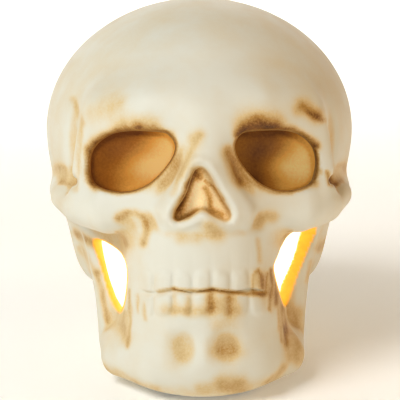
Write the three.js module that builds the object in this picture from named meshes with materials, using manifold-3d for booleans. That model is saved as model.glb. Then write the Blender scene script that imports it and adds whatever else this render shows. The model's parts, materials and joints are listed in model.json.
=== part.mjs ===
// Lit skull ornament: a two-part moulded shell, two eye cups, a screwed base that holds
// three cells, a door and a slide switch, and a lamp post under a frosted dome.
// Millimetres, +Z up. The face looks along -Y and the floor is z = 0.
import * as THREE from "three";
import { mergeVertices } from "three/addons/utils/BufferGeometryUtils.js";
import Module from "manifold-3d";

// Driving dimensions of the head
const headBreadth = 168;
const headLength = 174;
const crownHeight = 196;
const crownRise = 71;
const cheekBreadth = 160;
const jawBreadth = 111;
const toothArchBreadth = 80;
const neckBreadth = 106;
const neckLength = 120;
const eyeSpacing = 72;
const eyeHeight = 125;
const noseHeight = 110;
const noseOffset = -1.6;
const mouthHeight = 63;
const mouthDrop = 5.5;
const toothWidth = 9.4;
const toothHeight = 12;

// Driving dimensions of the shell
const shellWall = 5;
const hollowFront = -72;
const seamY = 45;
const lipDepth = 5;
const lipThickness = 2;
const lipHold = 4;
const lipRise = 1;
const rootOverlap = 0.5;
const cupWall = 2;
const grooveRadius = 0.9;

// Driving dimensions of the base
const footHeight = 2;
const footDiameter = 9;
const plateThickness = 3;
const bossDiameter = 9;
const bossHeight = 14;
const bossMargin = 3.5;
const ribWidth = 5;

// Driving dimensions of the cells and their compartment
const cellDiameter = 14.5;
const cellLength = 50.5;
const cellCount = 3;
const cellGap = 0.6;
const nubDiameter = 5.5;
const nubHeight = 1.2;
const springLength = 7;
const springDiameter = 8;
const springWire = 0.7;
const springTurns = 4;
const sheetThickness = 0.4;
const sheetHeight = 10;
const tabWidth = 3;
const tabReach = 2.5;
const boxWall = 2.4;
const doorThickness = 2;
const doorLedge = 1.2;
const hingePinDiameter = 1.2;
const hingePinLength = 1.2;

// Driving dimensions of the switch
const switchRoom = 13;
const switchRoomLength = 42;
const switchLength = 15;
const switchWidth = 8;
const switchHeight = 6;
const knobLength = 4;
const knobWidth = 3;
const sliderThickness = 2;
const switchTravel = 4;
const sliderEndLip = 1.5;
const sliderSideLip = 1;
const pinInset = 3;

// Driving dimensions of the lamp
const postHeight = 30;
const postDiameter = 14;
const postBore = 10;
const postFootThickness = 2.5;
const postFootInset = 1;
const cupRimRise = 1;
const cupThickness = 2;
const redHoleRise = 5;
const boardDiameter = 28;
const boardThickness = 1.6;
const domeWall = 1.6;
const ledDiameter = 5;
const ledHeight = 8;
const ledCount = 3;
const ledRim = 0.4;
const ledRimHeight = 1;
const ledShoulder = 0.7;
const leadDiameter = 1.4;
const leadBend = 4;
const leadSpread = 0.8;

// Driving dimensions of the screws
const screwDiameter = 3;
const screwHeadDiameter = 5.6;
const screwHeadHeight = 1.6;
const screwLength = 10;
const pilotSpare = 3;
const headTaper = 0.8;

// Clearances
const fit = 0.3;
const touch = 0.2;
const footSeat = 0.02;

// Fineness of the moulded surfaces
const skinColumns = 52;
const hollowColumns = 32;
const skinFaceStep = 5.4;
const skinFaceEnd = 97.2;
const skinBackStep = 9.2;
const hollowStep = 12;
const hollowFaceEnd = 96;
const rayStart = 170;
const rayCaution = 0.75;
const rayTolerance = 0.004;
const rayStepLimit = 400;

const wasm = await Module();
wasm.setup();

// Solids and their joins and cuts

function facingOut(geometry) {
  const bare = geometry.clone();
  bare.deleteAttribute("normal");
  bare.deleteAttribute("uv");
  const merged = mergeVertices(bare, 1e-4);
  const places = merged.attributes.position;
  const corners = merged.index.array;
  const a = new THREE.Vector3();
  const b = new THREE.Vector3();
  const c = new THREE.Vector3();
  let volume = 0;
  for (let i = 0; i < corners.length; i += 3) {
    a.fromBufferAttribute(places, corners[i]);
    b.fromBufferAttribute(places, corners[i + 1]);
    c.fromBufferAttribute(places, corners[i + 2]);
    volume += a.dot(b.cross(c));
  }
  if (volume < 0) {
    for (let i = 0; i < corners.length; i += 3) {
      const kept = corners[i];
      corners[i] = corners[i + 1];
      corners[i + 1] = kept;
    }
  }
  return merged;
}

function solidOf(geometry) {
  const closed = facingOut(geometry);
  return new wasm.Manifold(new wasm.Mesh({
    numProp: 3,
    vertProperties: new Float32Array(closed.attributes.position.array),
    triVerts: new Uint32Array(closed.index.array),
  }));
}

function geometryOf(solid) {
  const mesh = solid.getMesh();
  const geometry = new THREE.BufferGeometry();
  geometry.setAttribute("position", new THREE.BufferAttribute(new Float32Array(mesh.vertProperties), 3));
  geometry.setIndex(new THREE.BufferAttribute(new Uint32Array(mesh.triVerts), 1));
  return geometry;
}

const joined = (solids) => solids.reduce((whole, next) => whole.add(next));
const cutBy = (whole, tools) => tools.reduce((left, tool) => left.subtract(tool), whole);

function largestBody(solid) {
  const bodies = solid.decompose();
  return bodies.reduce((best, body) => (body.volume() > best.volume() ? body : best));
}

// Simple shapes in place

// Cutting tools run this far past the piece they cut
const overcut = 5;

function block(x0, x1, y0, y1, z0, z1) {
  const box = new THREE.BoxGeometry(x1 - x0, y1 - y0, z1 - z0);
  return box.translate((x0 + x1) / 2, (y0 + y1) / 2, (z0 + z1) / 2);
}

function rod(diameter, z0, z1, x = 0, y = 0, sides = 20) {
  const cylinder = new THREE.CylinderGeometry(diameter / 2, diameter / 2, z1 - z0, sides);
  return cylinder.rotateX(Math.PI / 2).translate(x, y, (z0 + z1) / 2);
}

function crossRod(diameter, x0, x1, y, z, sides = 12) {
  const cylinder = new THREE.CylinderGeometry(diameter / 2, diameter / 2, x1 - x0, sides);
  return cylinder.rotateZ(Math.PI / 2).translate((x0 + x1) / 2, y, z);
}

function turned(profile, sides) {
  const points = profile.map(([radius, height]) => new THREE.Vector2(radius, height));
  return facingOut(new THREE.LatheGeometry(points, sides).rotateX(Math.PI / 2));
}

function tubeAlong(places, radius, sides, steps) {
  const path = new THREE.CatmullRomCurve3(places.map((place) => new THREE.Vector3(...place)));
  const ring = new THREE.Shape();
  for (let i = 0; i < sides; i += 1) {
    const turn = (2 * Math.PI * i) / sides;
    const x = radius * Math.cos(turn);
    const y = radius * Math.sin(turn);
    if (i === 0) ring.moveTo(x, y);
    else ring.lineTo(x, y);
  }
  return new THREE.ExtrudeGeometry(ring, { steps, bevelEnabled: false, extrudePath: path });
}

// A closed outline pushed along the line of sight, from one depth to another
const sightDrop = Math.tan(THREE.MathUtils.degToRad(13));

function prismAlongSight(outline, outlineY, y0, y1) {
  const shape = new THREE.Shape(outline);
  const prism = new THREE.ExtrudeGeometry(shape, { depth: y1 - y0, bevelEnabled: false });
  const places = prism.attributes.position;
  for (let i = 0; i < places.count; i += 1) {
    const depth = y0 + places.getZ(i);
    const height = places.getY(i) - (depth - outlineY) * sightDrop;
    places.setXYZ(i, places.getX(i), depth, height);
  }
  return prism;
}

function smoothOutline(points, divisions) {
  const curve = new THREE.CatmullRomCurve3(points.map(([x, z]) => new THREE.Vector3(x, z, 0)), true);
  const places = curve.getPoints(points.length * divisions).slice(0, -1);
  return places.map((place) => new THREE.Vector2(place.x, place.y));
}

// The head as rounded masses, given for one side and mirrored in x.
// A mass is an egg or a limb, and melt is how softly it joins what came before.

const skullCore = [
  { centre: [0, 14, crownHeight - crownRise], radii: [headBreadth / 2, headLength / 2, crownRise], melt: 1 },
  { centre: [0, 30, 86], radii: [75, 64, 52], melt: 24 },
  { centre: [0, -22, 132], radii: [63, 64, 60], melt: 18 },
  { centre: [0, -14, 60], radii: [57, 43, 58], melt: 8 },
  { centre: [0, 4, 14], radii: [neckBreadth / 2, neckLength / 2, 90], melt: 10 },
  { centre: [0, -50, 66], radii: [toothArchBreadth / 2, 45, 60], melt: 10 },
  { centre: [0, -50, 32], radii: [43, 44.5, 46], melt: 12 },
];

const archRadius = 8.5;
const jawCornerRadius = 9.5;
const archX = cheekBreadth / 2 - archRadius;
const jawCornerX = jawBreadth / 2 - jawCornerRadius;

const mastoid = { centre: [53.5, 18, 62], radii: [17.5, 22, 27], melt: 10 };
const brow = { path: [[0, -75, 145, 10], [26, -74, 148.5, 9.5], [50, -61, 146, 7]], melt: 16 };
const eyeRim = { path: [[50, -61, 146, 7], [58, -56, 132, 6], [61, -54, 116, 6], [58, -54, 102, 8]], melt: 4 };
const eyeBed = { centre: [30, -46, 122], radii: [30, 28, 26], melt: 8 };
const cheekbone = {
  path: [
    [22, -73, 101, 8], [48, -60, 97, 13], [62, -46, 96, 11],
    [archX, -26, 96, archRadius], [archX + 3.5, -2, 93, 6.5], [archX + 4.5, 14, 90, 4],
  ],
  melt: 9,
};
const upperJaw = { centre: [0, -54, 90], radii: [36, 38, 36], melt: 12 };
const noseBridge = { path: [[0, -80, 142, 8], [0, -91, 128, 5.5]], melt: 14 };
const noseWing = { path: [[4, -91, 126, 4.5], [17, -86, 101, 5.5], [0, -91, 100, 4.5]], melt: 7 };
const jawLine = {
  path: [
    [0, -77, 16, 12], [22, -73, 16, 13], [41, -52, 15, 12.5], [jawCornerX, -28, 17, jawCornerRadius],
    [jawCornerX + 3, -26, 50, 7.5], [jawCornerX + 10, -20, 76, 7], [jawCornerX + 16, -16, 92, 7],
  ],
  melt: 10,
};
const jawBack = { path: [[44, -10, 24, 9], [49, -8, 52, 8], [58, 0, 80, 8]], melt: 14 };
const faceMasses = [
  mastoid, brow, eyeRim, eyeBed, cheekbone, upperJaw, noseBridge, noseWing, jawLine, jawBack,
];

const chinDip = { centre: [12.5, -105, 32], radii: [10, 13, 11], melt: 9 };
const cheekDip = { centre: [31, -92, 95], radii: [6, 9, 6], melt: 6 };
const templeDip = { centre: [72, -46, 126], radii: [6, 9, 24], melt: 6 };
const archGroove = { path: [[64, -56, 110, 1.5], [72, -40, 107.5, 2.5], [81, -22, 105, 2.5]], melt: 4 };
const faceDips = [chinDip, cheekDip, templeDip, archGroove];

function eggDistance(x, y, z, { centre, radii }) {
  const dx = x - centre[0];
  const dy = y - centre[1];
  const dz = z - centre[2];
  const share = Math.hypot(dx / radii[0], dy / radii[1], dz / radii[2]);
  const slope = Math.hypot(dx / radii[0] ** 2, dy / radii[1] ** 2, dz / radii[2] ** 2);
  return slope < 1e-9 ? -Math.min(...radii) : (share * (share - 1)) / slope;
}

function boneDistance(x, y, z, from, to) {
  const along = [to[0] - from[0], to[1] - from[1], to[2] - from[2]];
  const away = [x - from[0], y - from[1], z - from[2]];
  const run = along[0] ** 2 + along[1] ** 2 + along[2] ** 2;
  const dot = away[0] * along[0] + away[1] * along[1] + away[2] * along[2];
  const share = Math.min(Math.max(dot / run, 0), 1);
  const gap = Math.hypot(away[0] - along[0] * share, away[1] - along[1] * share, away[2] - along[2] * share);
  return gap - (from[3] + (to[3] - from[3]) * share);
}

function massDistance(x, y, z, mass) {
  if (mass.centre) return eggDistance(x, y, z, mass);
  let nearest = Infinity;
  for (let i = 1; i < mass.path.length; i += 1) {
    nearest = Math.min(nearest, boneDistance(x, y, z, mass.path[i - 1], mass.path[i]));
  }
  return nearest;
}

function melted(a, b, melt) {
  const shared = Math.max(melt - Math.abs(a - b), 0) / melt;
  return Math.min(a, b) - (shared * shared * melt) / 4;
}

const scooped = (a, b, melt) => -melted(-a, b, melt);

function grown(start, masses, x, y, z) {
  return masses.reduce((nearest, mass) => melted(nearest, massDistance(x, y, z, mass), mass.melt), start);
}

const farAway = 1000;
const coreDistance = (x, y, z) => grown(farAway, skullCore, Math.abs(x), y, z);

function headDistance(x, y, z) {
  const side = Math.abs(x);
  const head = grown(coreDistance(x, y, z), faceMasses, side, y, z);
  return faceDips.reduce((left, dip) => scooped(left, massDistance(side, y, z, dip), dip.melt), head);
}

const coreWallShare = 0.6;

function hollowDistance(x, y, z) {
  const core = coreDistance(x, y, z) + shellWall * coreWallShare;
  return Math.max(core, headDistance(x, y, z) + shellWall, hollowFront - y);
}

// A surface as rings of rays from the middle of the head, the first ring round the face.
// The facets of the left side mirror those of the right side.
const headMiddle = new THREE.Vector3(0, -6, 90);

function rayReach(distance, direction) {
  let reach = rayStart;
  for (let step = 0; step < rayStepLimit; step += 1) {
    const place = direction.clone().multiplyScalar(reach).add(headMiddle);
    const gap = distance(place.x, place.y, place.z);
    if (gap < rayTolerance) break;
    reach -= gap * rayCaution;
  }
  return reach;
}

function ringAngles(faceStep, faceEnd, backStep) {
  const angles = [];
  for (let angle = faceStep; angle < faceEnd; angle += faceStep) angles.push(angle);
  for (let angle = faceEnd; angle < 180 - backStep / 2; angle += backStep) angles.push(angle);
  return angles;
}

function surfaceGeometry(distance, columns, angles) {
  const places = [];
  const addRay = (tilt, turn) => {
    const direction = new THREE.Vector3(
      Math.sin(tilt) * Math.cos(turn), -Math.cos(tilt), Math.sin(tilt) * Math.sin(turn),
    );
    const place = direction.clone().multiplyScalar(rayReach(distance, direction)).add(headMiddle);
    places.push(place.x, place.y, place.z);
  };
  addRay(0, 0);
  for (const angle of angles) {
    for (let column = 0; column < columns; column += 1) {
      addRay(THREE.MathUtils.degToRad(angle), (2 * Math.PI * column) / columns);
    }
  }
  addRay(Math.PI, 0);
  const corners = [];
  const lastPlace = 1 + angles.length * columns;
  for (let column = 0; column < columns; column += 1) {
    const next = (column + 1) % columns;
    const onRight = Math.cos((2 * Math.PI * (column + 0.5)) / columns) > 0;
    corners.push(0, 1 + column, 1 + next);
    for (let ring = 1; ring < angles.length; ring += 1) {
      const inner = 1 + (ring - 1) * columns;
      const outer = inner + columns;
      if (onRight) {
        corners.push(inner + column, outer + column, outer + next);
        corners.push(inner + column, outer + next, inner + next);
      } else {
        corners.push(inner + column, outer + column, inner + next);
        corners.push(outer + column, outer + next, inner + next);
      }
    }
    const rim = lastPlace - columns;
    corners.push(rim + column, lastPlace, rim + next);
  }
  const geometry = new THREE.BufferGeometry();
  geometry.setAttribute("position", new THREE.Float32BufferAttribute(places, 3));
  geometry.setIndex(corners);
  return geometry;
}

const skinRings = ringAngles(skinFaceStep, skinFaceEnd, skinBackStep);
const hollowRings = ringAngles(hollowStep, hollowFaceEnd, hollowStep);
const hollowSolid = (inset) => solidOf(surfaceGeometry(
  (x, y, z) => hollowDistance(x, y, z) + inset, hollowColumns, hollowRings,
));

// The y of the front of the skin above a place in x and z
function frontOf(x, z) {
  let y = -rayStart;
  for (let step = 0; step < rayStepLimit; step += 1) {
    const gap = headDistance(x, y, z);
    if (gap < rayTolerance) break;
    y += gap * rayCaution;
  }
  return y;
}

// Outlines seen on the face: the eye and nose about their own middles, the windows in x and z
const eyeOutline = smoothOutline([
  [-13.4, 13], [7.4, 13], [19, 5.5], [21, -7], [16.8, -14],
  [4.5, -16.8], [-7.9, -13.2], [-18, -3], [-21.4, 5], [-19.2, 10.5],
], 2);
const noseOutline = smoothOutline([
  [0, 13], [3.6, 10], [8, 0], [13.5, -9.5], [12, -13.5], [6, -10.5],
  [0, -6], [-6, -10.5], [-12, -13.5], [-13.5, -9.5], [-8, 0], [-3.6, 10],
], 2);
const rightWindow = smoothOutline([
  [61, 83], [54, 83], [45, 78], [37, 68], [36, 62], [40, 49], [43, 43], [46, 45], [50, 58], [57, 74],
], 2);
const leftWindow = smoothOutline([
  [-57, 79], [-48, 77], [-41, 71], [-39, 60], [-41, 46], [-44, 40], [-48, 46], [-53, 64],
], 2);

const cutFront = -120;
const eyePlane = -72;
const eyeCutEnd = -42;
const nosePlane = -86;
const noseFloor = -80;
const windowPlane = -55;
const windowCutEnd = -20;

function shifted(outline, x, z, mirror = 1) {
  return outline.map((place) => new THREE.Vector2(x + mirror * place.x, z + place.y));
}

function eyeCut(side) {
  const outline = shifted(eyeOutline, side * eyeSpacing / 2, eyeHeight, side);
  return solidOf(prismAlongSight(outline, eyePlane, cutFront, eyeCutEnd));
}

const noseCut = () => solidOf(
  prismAlongSight(shifted(noseOutline, noseOffset, noseHeight), nosePlane, cutFront, noseFloor),
);
const windowCut = (outline) => solidOf(prismAlongSight(outline, windowPlane, cutFront, windowCutEnd));

// Grooves between the teeth, and the line where the rows meet
const gapsPerSide = 3;
const mouthOverhang = 0.4;
const mouthHalfWidth = toothWidth * (gapsPerSide + mouthOverhang);
const mouthAt = (x) => mouthHeight - mouthDrop * (x / mouthHalfWidth) ** 2;

function toothGrooves() {
  const grooves = [];
  const mouthLine = [];
  for (let share = -1; share <= 1; share += 0.25) {
    const x = share * mouthHalfWidth;
    mouthLine.push([x, frontOf(x, mouthAt(x)), mouthAt(x)]);
  }
  grooves.push(solidOf(tubeAlong(mouthLine, grooveRadius, 6, 16)));
  for (let gap = -gapsPerSide; gap < gapsPerSide; gap += 1) {
    const x = (gap + 0.5) * toothWidth;
    const line = [-1, 0, 1].map((share) => {
      const z = mouthAt(x) + share * toothHeight;
      return [x, frontOf(x, z), z];
    });
    grooves.push(solidOf(tubeAlong(line, grooveRadius, 6, 4)));
  }
  return grooves;
}

// Heights in the base, from the floor up
const plateBottom = footHeight;
const plateTop = plateBottom + plateThickness;
const doorTop = plateBottom + doorThickness;
const cellZ = doorTop + cellGap + cellDiameter / 2;
const bayTop = cellZ + cellDiameter / 2 + cellGap;
const boxTop = bayTop + boxWall;

// The compartment in plan: the switch room lies towards the face, the cells behind it
const contactDepth = 2 * touch + sheetThickness;
const bayHalf = (2 * contactDepth + cellLength + springLength + touch) / 2;
const bayWidth = cellCount * cellDiameter + (cellCount + 1) * cellGap;
const boxHalf = bayHalf + boxWall;
const boxLength = bayWidth + switchRoom + 3 * boxWall;
const boxMiddleY = 1;
const boxFront = boxMiddleY - boxLength / 2;
const switchFront = boxFront + boxWall;
const switchBack = switchFront + switchRoom;
const bayFront = switchBack + boxWall;
const bayBack = bayFront + bayWidth;
const boxBack = bayBack + boxWall;
const postY = (switchFront + switchBack) / 2;
const switchFloor = plateBottom + doorThickness;

// The base's screws, found where the hollow ends in three directions
const baseMiddleY = 4;
const bossInset = bossDiameter / 2 + bossMargin;
const bossDirections = [[-0.48, -0.877], [0.48, -0.877], [0, 1]];

function edgeReach([alongX, alongY], z) {
  let reach = 0;
  const inside = () => hollowDistance(alongX * reach, baseMiddleY + alongY * reach, z) < 0;
  while (inside()) reach += 0.25;
  return reach;
}

const bossPlaces = bossDirections.map((direction) => {
  const reach = edgeReach(direction, plateTop) - bossInset;
  return [direction[0] * reach, baseMiddleY + direction[1] * reach];
});
const ribAngles = bossDirections.map(([alongX, alongY]) => Math.atan2(alongY, alongX));

const bossSeat = plateTop + touch;
const pilotDiameter = screwDiameter + fit;

// A boss stands on a rib that runs out into the shell's wall
function bossSolid(index) {
  const [x, y] = bossPlaces[index];
  const boss = rod(bossDiameter, bossSeat, bossSeat + bossHeight, x, y, 16);
  const ribLength = bossInset + shellWall / 2;
  const rib = block(0, ribLength, -ribWidth / 2, ribWidth / 2, bossSeat, bossSeat + bossHeight);
  rib.rotateZ(ribAngles[index]).translate(x, y, 0);
  return solidOf(boss).add(solidOf(rib));
}

function pilotSolid(index) {
  const [x, y] = bossPlaces[index];
  return solidOf(rod(pilotDiameter, 0, bossSeat + screwLength, x, y, 12));
}

// Shells: the head less its hollow, standing flat on the height of the feet
const halfSpace = 200;
const aboveFeet = solidOf(block(-halfSpace, halfSpace, -halfSpace, halfSpace, plateBottom, 2 * halfSpace));
const headSolid = solidOf(surfaceGeometry(headDistance, skinColumns, skinRings)).intersect(aboveFeet);
const wallSolid = headSolid.subtract(hollowSolid(0));
const frontSide = solidOf(block(-halfSpace, halfSpace, -halfSpace, seamY - fit / 2, -halfSpace, 2 * halfSpace));
const backSide = solidOf(block(-halfSpace, halfSpace, seamY + fit / 2, halfSpace, -halfSpace, 2 * halfSpace));

function slabY(y0, y1, z0) {
  return solidOf(block(-halfSpace, halfSpace, y0, y1, z0, halfSpace));
}

function faceShell() {
  const front = wallSolid.intersect(frontSide);
  const openings = [eyeCut(-1), eyeCut(1), noseCut(), windowCut(leftWindow), windowCut(rightWindow)];
  const carved = cutBy(front, [...openings, ...toothGrooves()]);
  const bosses = [0, 1];
  const withBosses = joined([carved, ...bosses.map(bossSolid)]);
  return largestBody(cutBy(withBosses, bosses.map(pilotSolid)));
}

// The rear half carries a lip that slides inside the front half
function rearShell() {
  const lipBottom = plateTop + lipRise;
  const lipInner = hollowSolid(fit + lipThickness);
  const tongue = hollowSolid(fit).subtract(lipInner)
    .intersect(slabY(seamY - lipDepth, seamY + lipHold, lipBottom));
  const root = hollowSolid(-rootOverlap).subtract(lipInner)
    .intersect(slabY(seamY + fit / 2, seamY + lipHold, lipBottom));
  const boss = 2;
  const whole = joined([wallSolid.intersect(backSide), tongue, root, bossSolid(boss)]);
  return largestBody(whole.subtract(pilotSolid(boss)));
}

const cupCentre = [39, -60, 121];
const cupRadii = [33, 28, 29];

function eyeCup(side) {
  const bowl = (extra) => {
    const ball = new THREE.SphereGeometry(1, 16, 10);
    ball.scale(cupRadii[0] + extra, cupRadii[1] + extra, cupRadii[2] + extra);
    return solidOf(ball.translate(side * cupCentre[0], cupCentre[1], cupCentre[2]));
  };
  return largestBody(bowl(cupWall).subtract(bowl(0)).intersect(hollowSolid(fit)));
}

// Base plate with the compartment moulded on it
const recessHalf = bayHalf + doorLedge;
const recessFront = bayFront - doorLedge;
const recessBack = bayBack + doorLedge;
const knobX = -10;
const slotHalf = (knobLength + switchTravel) / 2 + fit;
const postScrewX = (switchRoomLength / 2 + boxHalf) / 2;
const hingeZ = plateBottom + doorThickness / 2;
const pinSocketEnd = recessHalf + hingePinLength;
const hingeY = recessBack - fit - doorThickness / 2;
const fingerNotch = { x: 12, length: 14, width: 4, depth: 1 };
const below = plateBottom - overcut;

function basePlate() {
  const slab = solidOf(block(-halfSpace, halfSpace, -halfSpace, halfSpace, plateBottom, plateTop));
  const plate = slab.intersect(hollowSolid(fit));
  const box = solidOf(block(-boxHalf, boxHalf, boxFront, boxBack, plateBottom, boxTop));
  const roomHalf = switchRoomLength / 2;
  const notchBack = recessFront + doorLedge;
  const cuts = [
    block(-bayHalf, bayHalf, bayFront, bayBack, below, bayTop),
    block(-recessHalf, recessHalf, recessFront, recessBack, below, doorTop + fit),
    block(-roomHalf, roomHalf, switchFront, switchBack, switchFloor, boxTop + overcut),
    block(
      knobX - slotHalf, knobX + slotHalf,
      postY - knobWidth / 2 - fit, postY + knobWidth / 2 + fit, below, switchFloor + overcut,
    ),
    block(
      fingerNotch.x - fingerNotch.length / 2, fingerNotch.x + fingerNotch.length / 2,
      recessFront - fingerNotch.width, notchBack, below, plateBottom + fingerNotch.depth,
    ),
    crossRod(hingePinDiameter + 2 * fit, -pinSocketEnd, pinSocketEnd, hingeY, hingeZ),
  ];
  const postPilots = [-1, 1].map((side) => (
    rod(pilotDiameter, boxTop - screwLength, boxTop + overcut, side * postScrewX, postY, 12)
  ));
  const screwHoles = bossPlaces.flatMap(([x, y]) => [
    rod(pilotDiameter, below, plateTop + overcut, x, y, 12),
    rod(screwHeadDiameter + 2 * fit, below, plateBottom + screwHeadHeight + touch, x, y, 16),
  ]);
  const tools = [...cuts, ...postPilots, ...screwHoles, ...tabSlots()];
  return largestBody(cutBy(plate.add(box), tools.map(solidOf)));
}

function screwGeometry(headDown) {
  const headRadius = screwHeadDiameter / 2;
  const shankRadius = screwDiameter / 2;
  const shankEnd = screwHeadHeight + screwLength - pilotSpare;
  const profile = [
    [0, 0], [headRadius * headTaper, 0], [headRadius, screwHeadHeight / 2], [headRadius, screwHeadHeight],
    [shankRadius, screwHeadHeight], [shankRadius, shankEnd], [0, shankEnd + shankRadius],
  ];
  const screw = turned(profile, 12);
  return headDown ? screw : screw.rotateX(Math.PI);
}

// Door with a rounded hinge edge and a pin at each end of it
function batteryDoor() {
  const half = recessHalf - fit;
  const radius = doorThickness / 2;
  const section = new THREE.Shape();
  section.moveTo(recessFront + fit, plateBottom);
  section.lineTo(hingeY, plateBottom);
  section.absarc(hingeY, hingeZ, radius, -Math.PI / 2, Math.PI / 2, false);
  section.lineTo(recessFront + fit, doorTop);
  section.closePath();
  const slab = new THREE.ExtrudeGeometry(section, { depth: 2 * half, bevelEnabled: false, curveSegments: 6 });
  slab.applyMatrix4(new THREE.Matrix4().makeBasis(
    new THREE.Vector3(0, 1, 0), new THREE.Vector3(0, 0, 1), new THREE.Vector3(1, 0, 0),
  )).translate(-half, 0, 0);
  const pinReach = pinSocketEnd - fit;
  return solidOf(slab).add(solidOf(crossRod(hingePinDiameter, -pinReach, pinReach, hingeY, hingeZ, 10)));
}

// Cells lie along x, every second one turned round
const cellPlaces = Array.from({ length: cellCount }, (unused, index) => ({
  y: bayFront + cellGap + cellDiameter / 2 + index * (cellDiameter + cellGap),
  way: index % 2 === 0 ? 1 : -1,
}));
const nubTipX = bayHalf - contactDepth;

function cellGeometry(way) {
  const radius = cellDiameter / 2;
  const bodyEnd = cellLength - nubHeight;
  const chamfer = 0.8;
  const profile = [
    [0, 0], [radius - chamfer, 0], [radius, chamfer], [radius, bodyEnd - chamfer], [radius - chamfer, bodyEnd],
    [nubDiameter / 2, bodyEnd], [nubDiameter / 2, cellLength], [0, cellLength],
  ];
  return turned(profile, 16).rotateY((way * Math.PI) / 2).translate(way * (nubTipX - cellLength), 0, 0);
}

function springGeometry(way) {
  const stepsPerTurn = 8;
  const radius = (springDiameter - springWire) / 2;
  const run = springLength - springWire - 2 * touch;
  const places = [];
  for (let step = 0; step <= springTurns * stepsPerTurn; step += 1) {
    const turn = (2 * Math.PI * step) / stepsPerTurn;
    const along = (run * step) / (springTurns * stepsPerTurn);
    places.push([along, radius * Math.cos(turn), radius * Math.sin(turn)]);
  }
  const startX = -bayHalf + contactDepth + touch + springWire / 2;
  const spring = tubeAlong(places, springWire / 2, 5, springTurns * stepsPerTurn);
  return spring.translate(startX, 0, 0).rotateZ(way > 0 ? 0 : Math.PI);
}

const turnPitch = (springLength - springWire - 2 * touch) / springTurns;
console.log(`gap between spring curls ${(turnPitch - springWire).toFixed(2)} mm`);

// Contact sheets stand against the end walls: one for each open end, one for each link
function sheetGeometry(endSide, firstCell, lastCell) {
  const half = cellDiameter / 2 - cellGap;
  const outer = endSide * (bayHalf - touch);
  const inner = outer - endSide * sheetThickness;
  return block(
    Math.min(outer, inner), Math.max(outer, inner),
    cellPlaces[firstCell].y - half, cellPlaces[lastCell].y + half,
    cellZ - sheetHeight / 2, cellZ + sheetHeight / 2,
  );
}

// The two end sheets have a tab that leaves through the end wall
const tabZ = cellZ + sheetHeight / 2 - tabWidth / 2;
const terminals = [{ endSide: -1, cell: 0 }, { endSide: 1, cell: cellCount - 1 }];

function tabBlock({ endSide, cell }, startX, endX, spare) {
  const half = tabWidth / 2 + spare;
  const halfThickness = sheetThickness / 2 + spare;
  const y = cellPlaces[cell].y;
  const ends = [endSide * startX, endSide * endX];
  return block(
    Math.min(...ends), Math.max(...ends), y - half, y + half, tabZ - halfThickness, tabZ + halfThickness,
  );
}

const tabSlots = () => terminals.map((terminal) => (
  tabBlock(terminal, bayHalf - overcut, boxHalf + overcut, fit)
));

function terminalSolid(terminal) {
  const sheet = sheetGeometry(terminal.endSide, terminal.cell, terminal.cell);
  const tab = tabBlock(terminal, bayHalf - touch - sheetThickness / 2, boxHalf + tabReach, 0);
  return solidOf(sheet).add(solidOf(tab));
}

// Slide switch: a housing over the slot, and a slider whose knob reaches down through it
const sliderHalf = knobLength / 2 + sliderEndLip;
const sliderHalfWidth = knobWidth / 2 + sliderSideLip;
const sliderBottom = switchFloor + fit;
const sliderTop = sliderBottom + sliderThickness;
const housingBottom = switchFloor + touch;
const knobReach = 0.8;
const knobRestX = knobX - switchTravel / 2;

function switchHousing() {
  const housing = solidOf(block(
    knobX - switchLength / 2, knobX + switchLength / 2,
    postY - switchWidth / 2, postY + switchWidth / 2, housingBottom, housingBottom + switchHeight,
  ));
  const roomHalf = sliderHalf + switchTravel / 2 + fit;
  const room = solidOf(block(
    knobX - roomHalf, knobX + roomHalf,
    postY - sliderHalfWidth - fit, postY + sliderHalfWidth + fit, housingBottom - overcut, sliderTop + fit,
  ));
  return housing.subtract(room);
}

function switchSlider() {
  const plate = solidOf(block(
    knobRestX - sliderHalf, knobRestX + sliderHalf,
    postY - sliderHalfWidth, postY + sliderHalfWidth, sliderBottom, sliderTop,
  ));
  const knob = solidOf(block(
    knobRestX - knobLength / 2, knobRestX + knobLength / 2,
    postY - knobWidth / 2, postY + knobWidth / 2, plateBottom - knobReach, (sliderBottom + sliderTop) / 2,
  ));
  return plate.add(knob);
}

// Lamp post: a foot that covers the switch room, a hollow stem and a cup for the board
const postBottom = boxTop + touch;
const postFootTop = postBottom + postFootThickness;
const cupFloor = postFootTop + postHeight;
const boardBottom = cupFloor + touch;
const boardTop = boardBottom + boardThickness;
const cupTop = boardTop + cupRimRise;
const boardHoleRadius = boardDiameter / 2 + fit;
const cupRadius = boardHoleRadius + domeWall;
const leadHole = leadDiameter + 4 * fit;
const redHoleZ = postFootTop + redHoleRise;
const blackHoleX = knobX - switchLength / 2 + pinInset;

function lampPost() {
  const boreRadius = postBore / 2;
  const stem = turned([
    [boreRadius, postBottom], [postDiameter / 2, postBottom], [postDiameter / 2, cupFloor - 2 * cupThickness],
    [cupRadius, cupFloor - cupThickness], [cupRadius, cupTop], [boardHoleRadius, cupTop],
    [boardHoleRadius, cupFloor], [boreRadius, cupFloor], [boreRadius, postBottom],
  ], 18).translate(0, postY, 0);
  const foot = block(
    -boxHalf + postFootInset, boxHalf - postFootInset,
    switchFront - boxWall + fit, switchBack + boxWall - fit, postBottom, postFootTop,
  );
  const holes = [
    rod(postBore, postBottom - overcut, postFootTop + overcut, 0, postY, 24),
    rod(leadHole, postBottom - overcut, postFootTop + overcut, blackHoleX, postY, 10),
  ];
  for (const side of [-1, 1]) {
    holes.push(rod(pilotDiameter, postBottom - overcut, postFootTop + overcut, side * postScrewX, postY, 12));
  }
  const whole = cutBy(solidOf(foot), holes.map(solidOf)).add(solidOf(stem));
  return whole.subtract(solidOf(crossRod(leadHole, 0, postDiameter, postY, redHoleZ, 10)));
}

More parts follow.
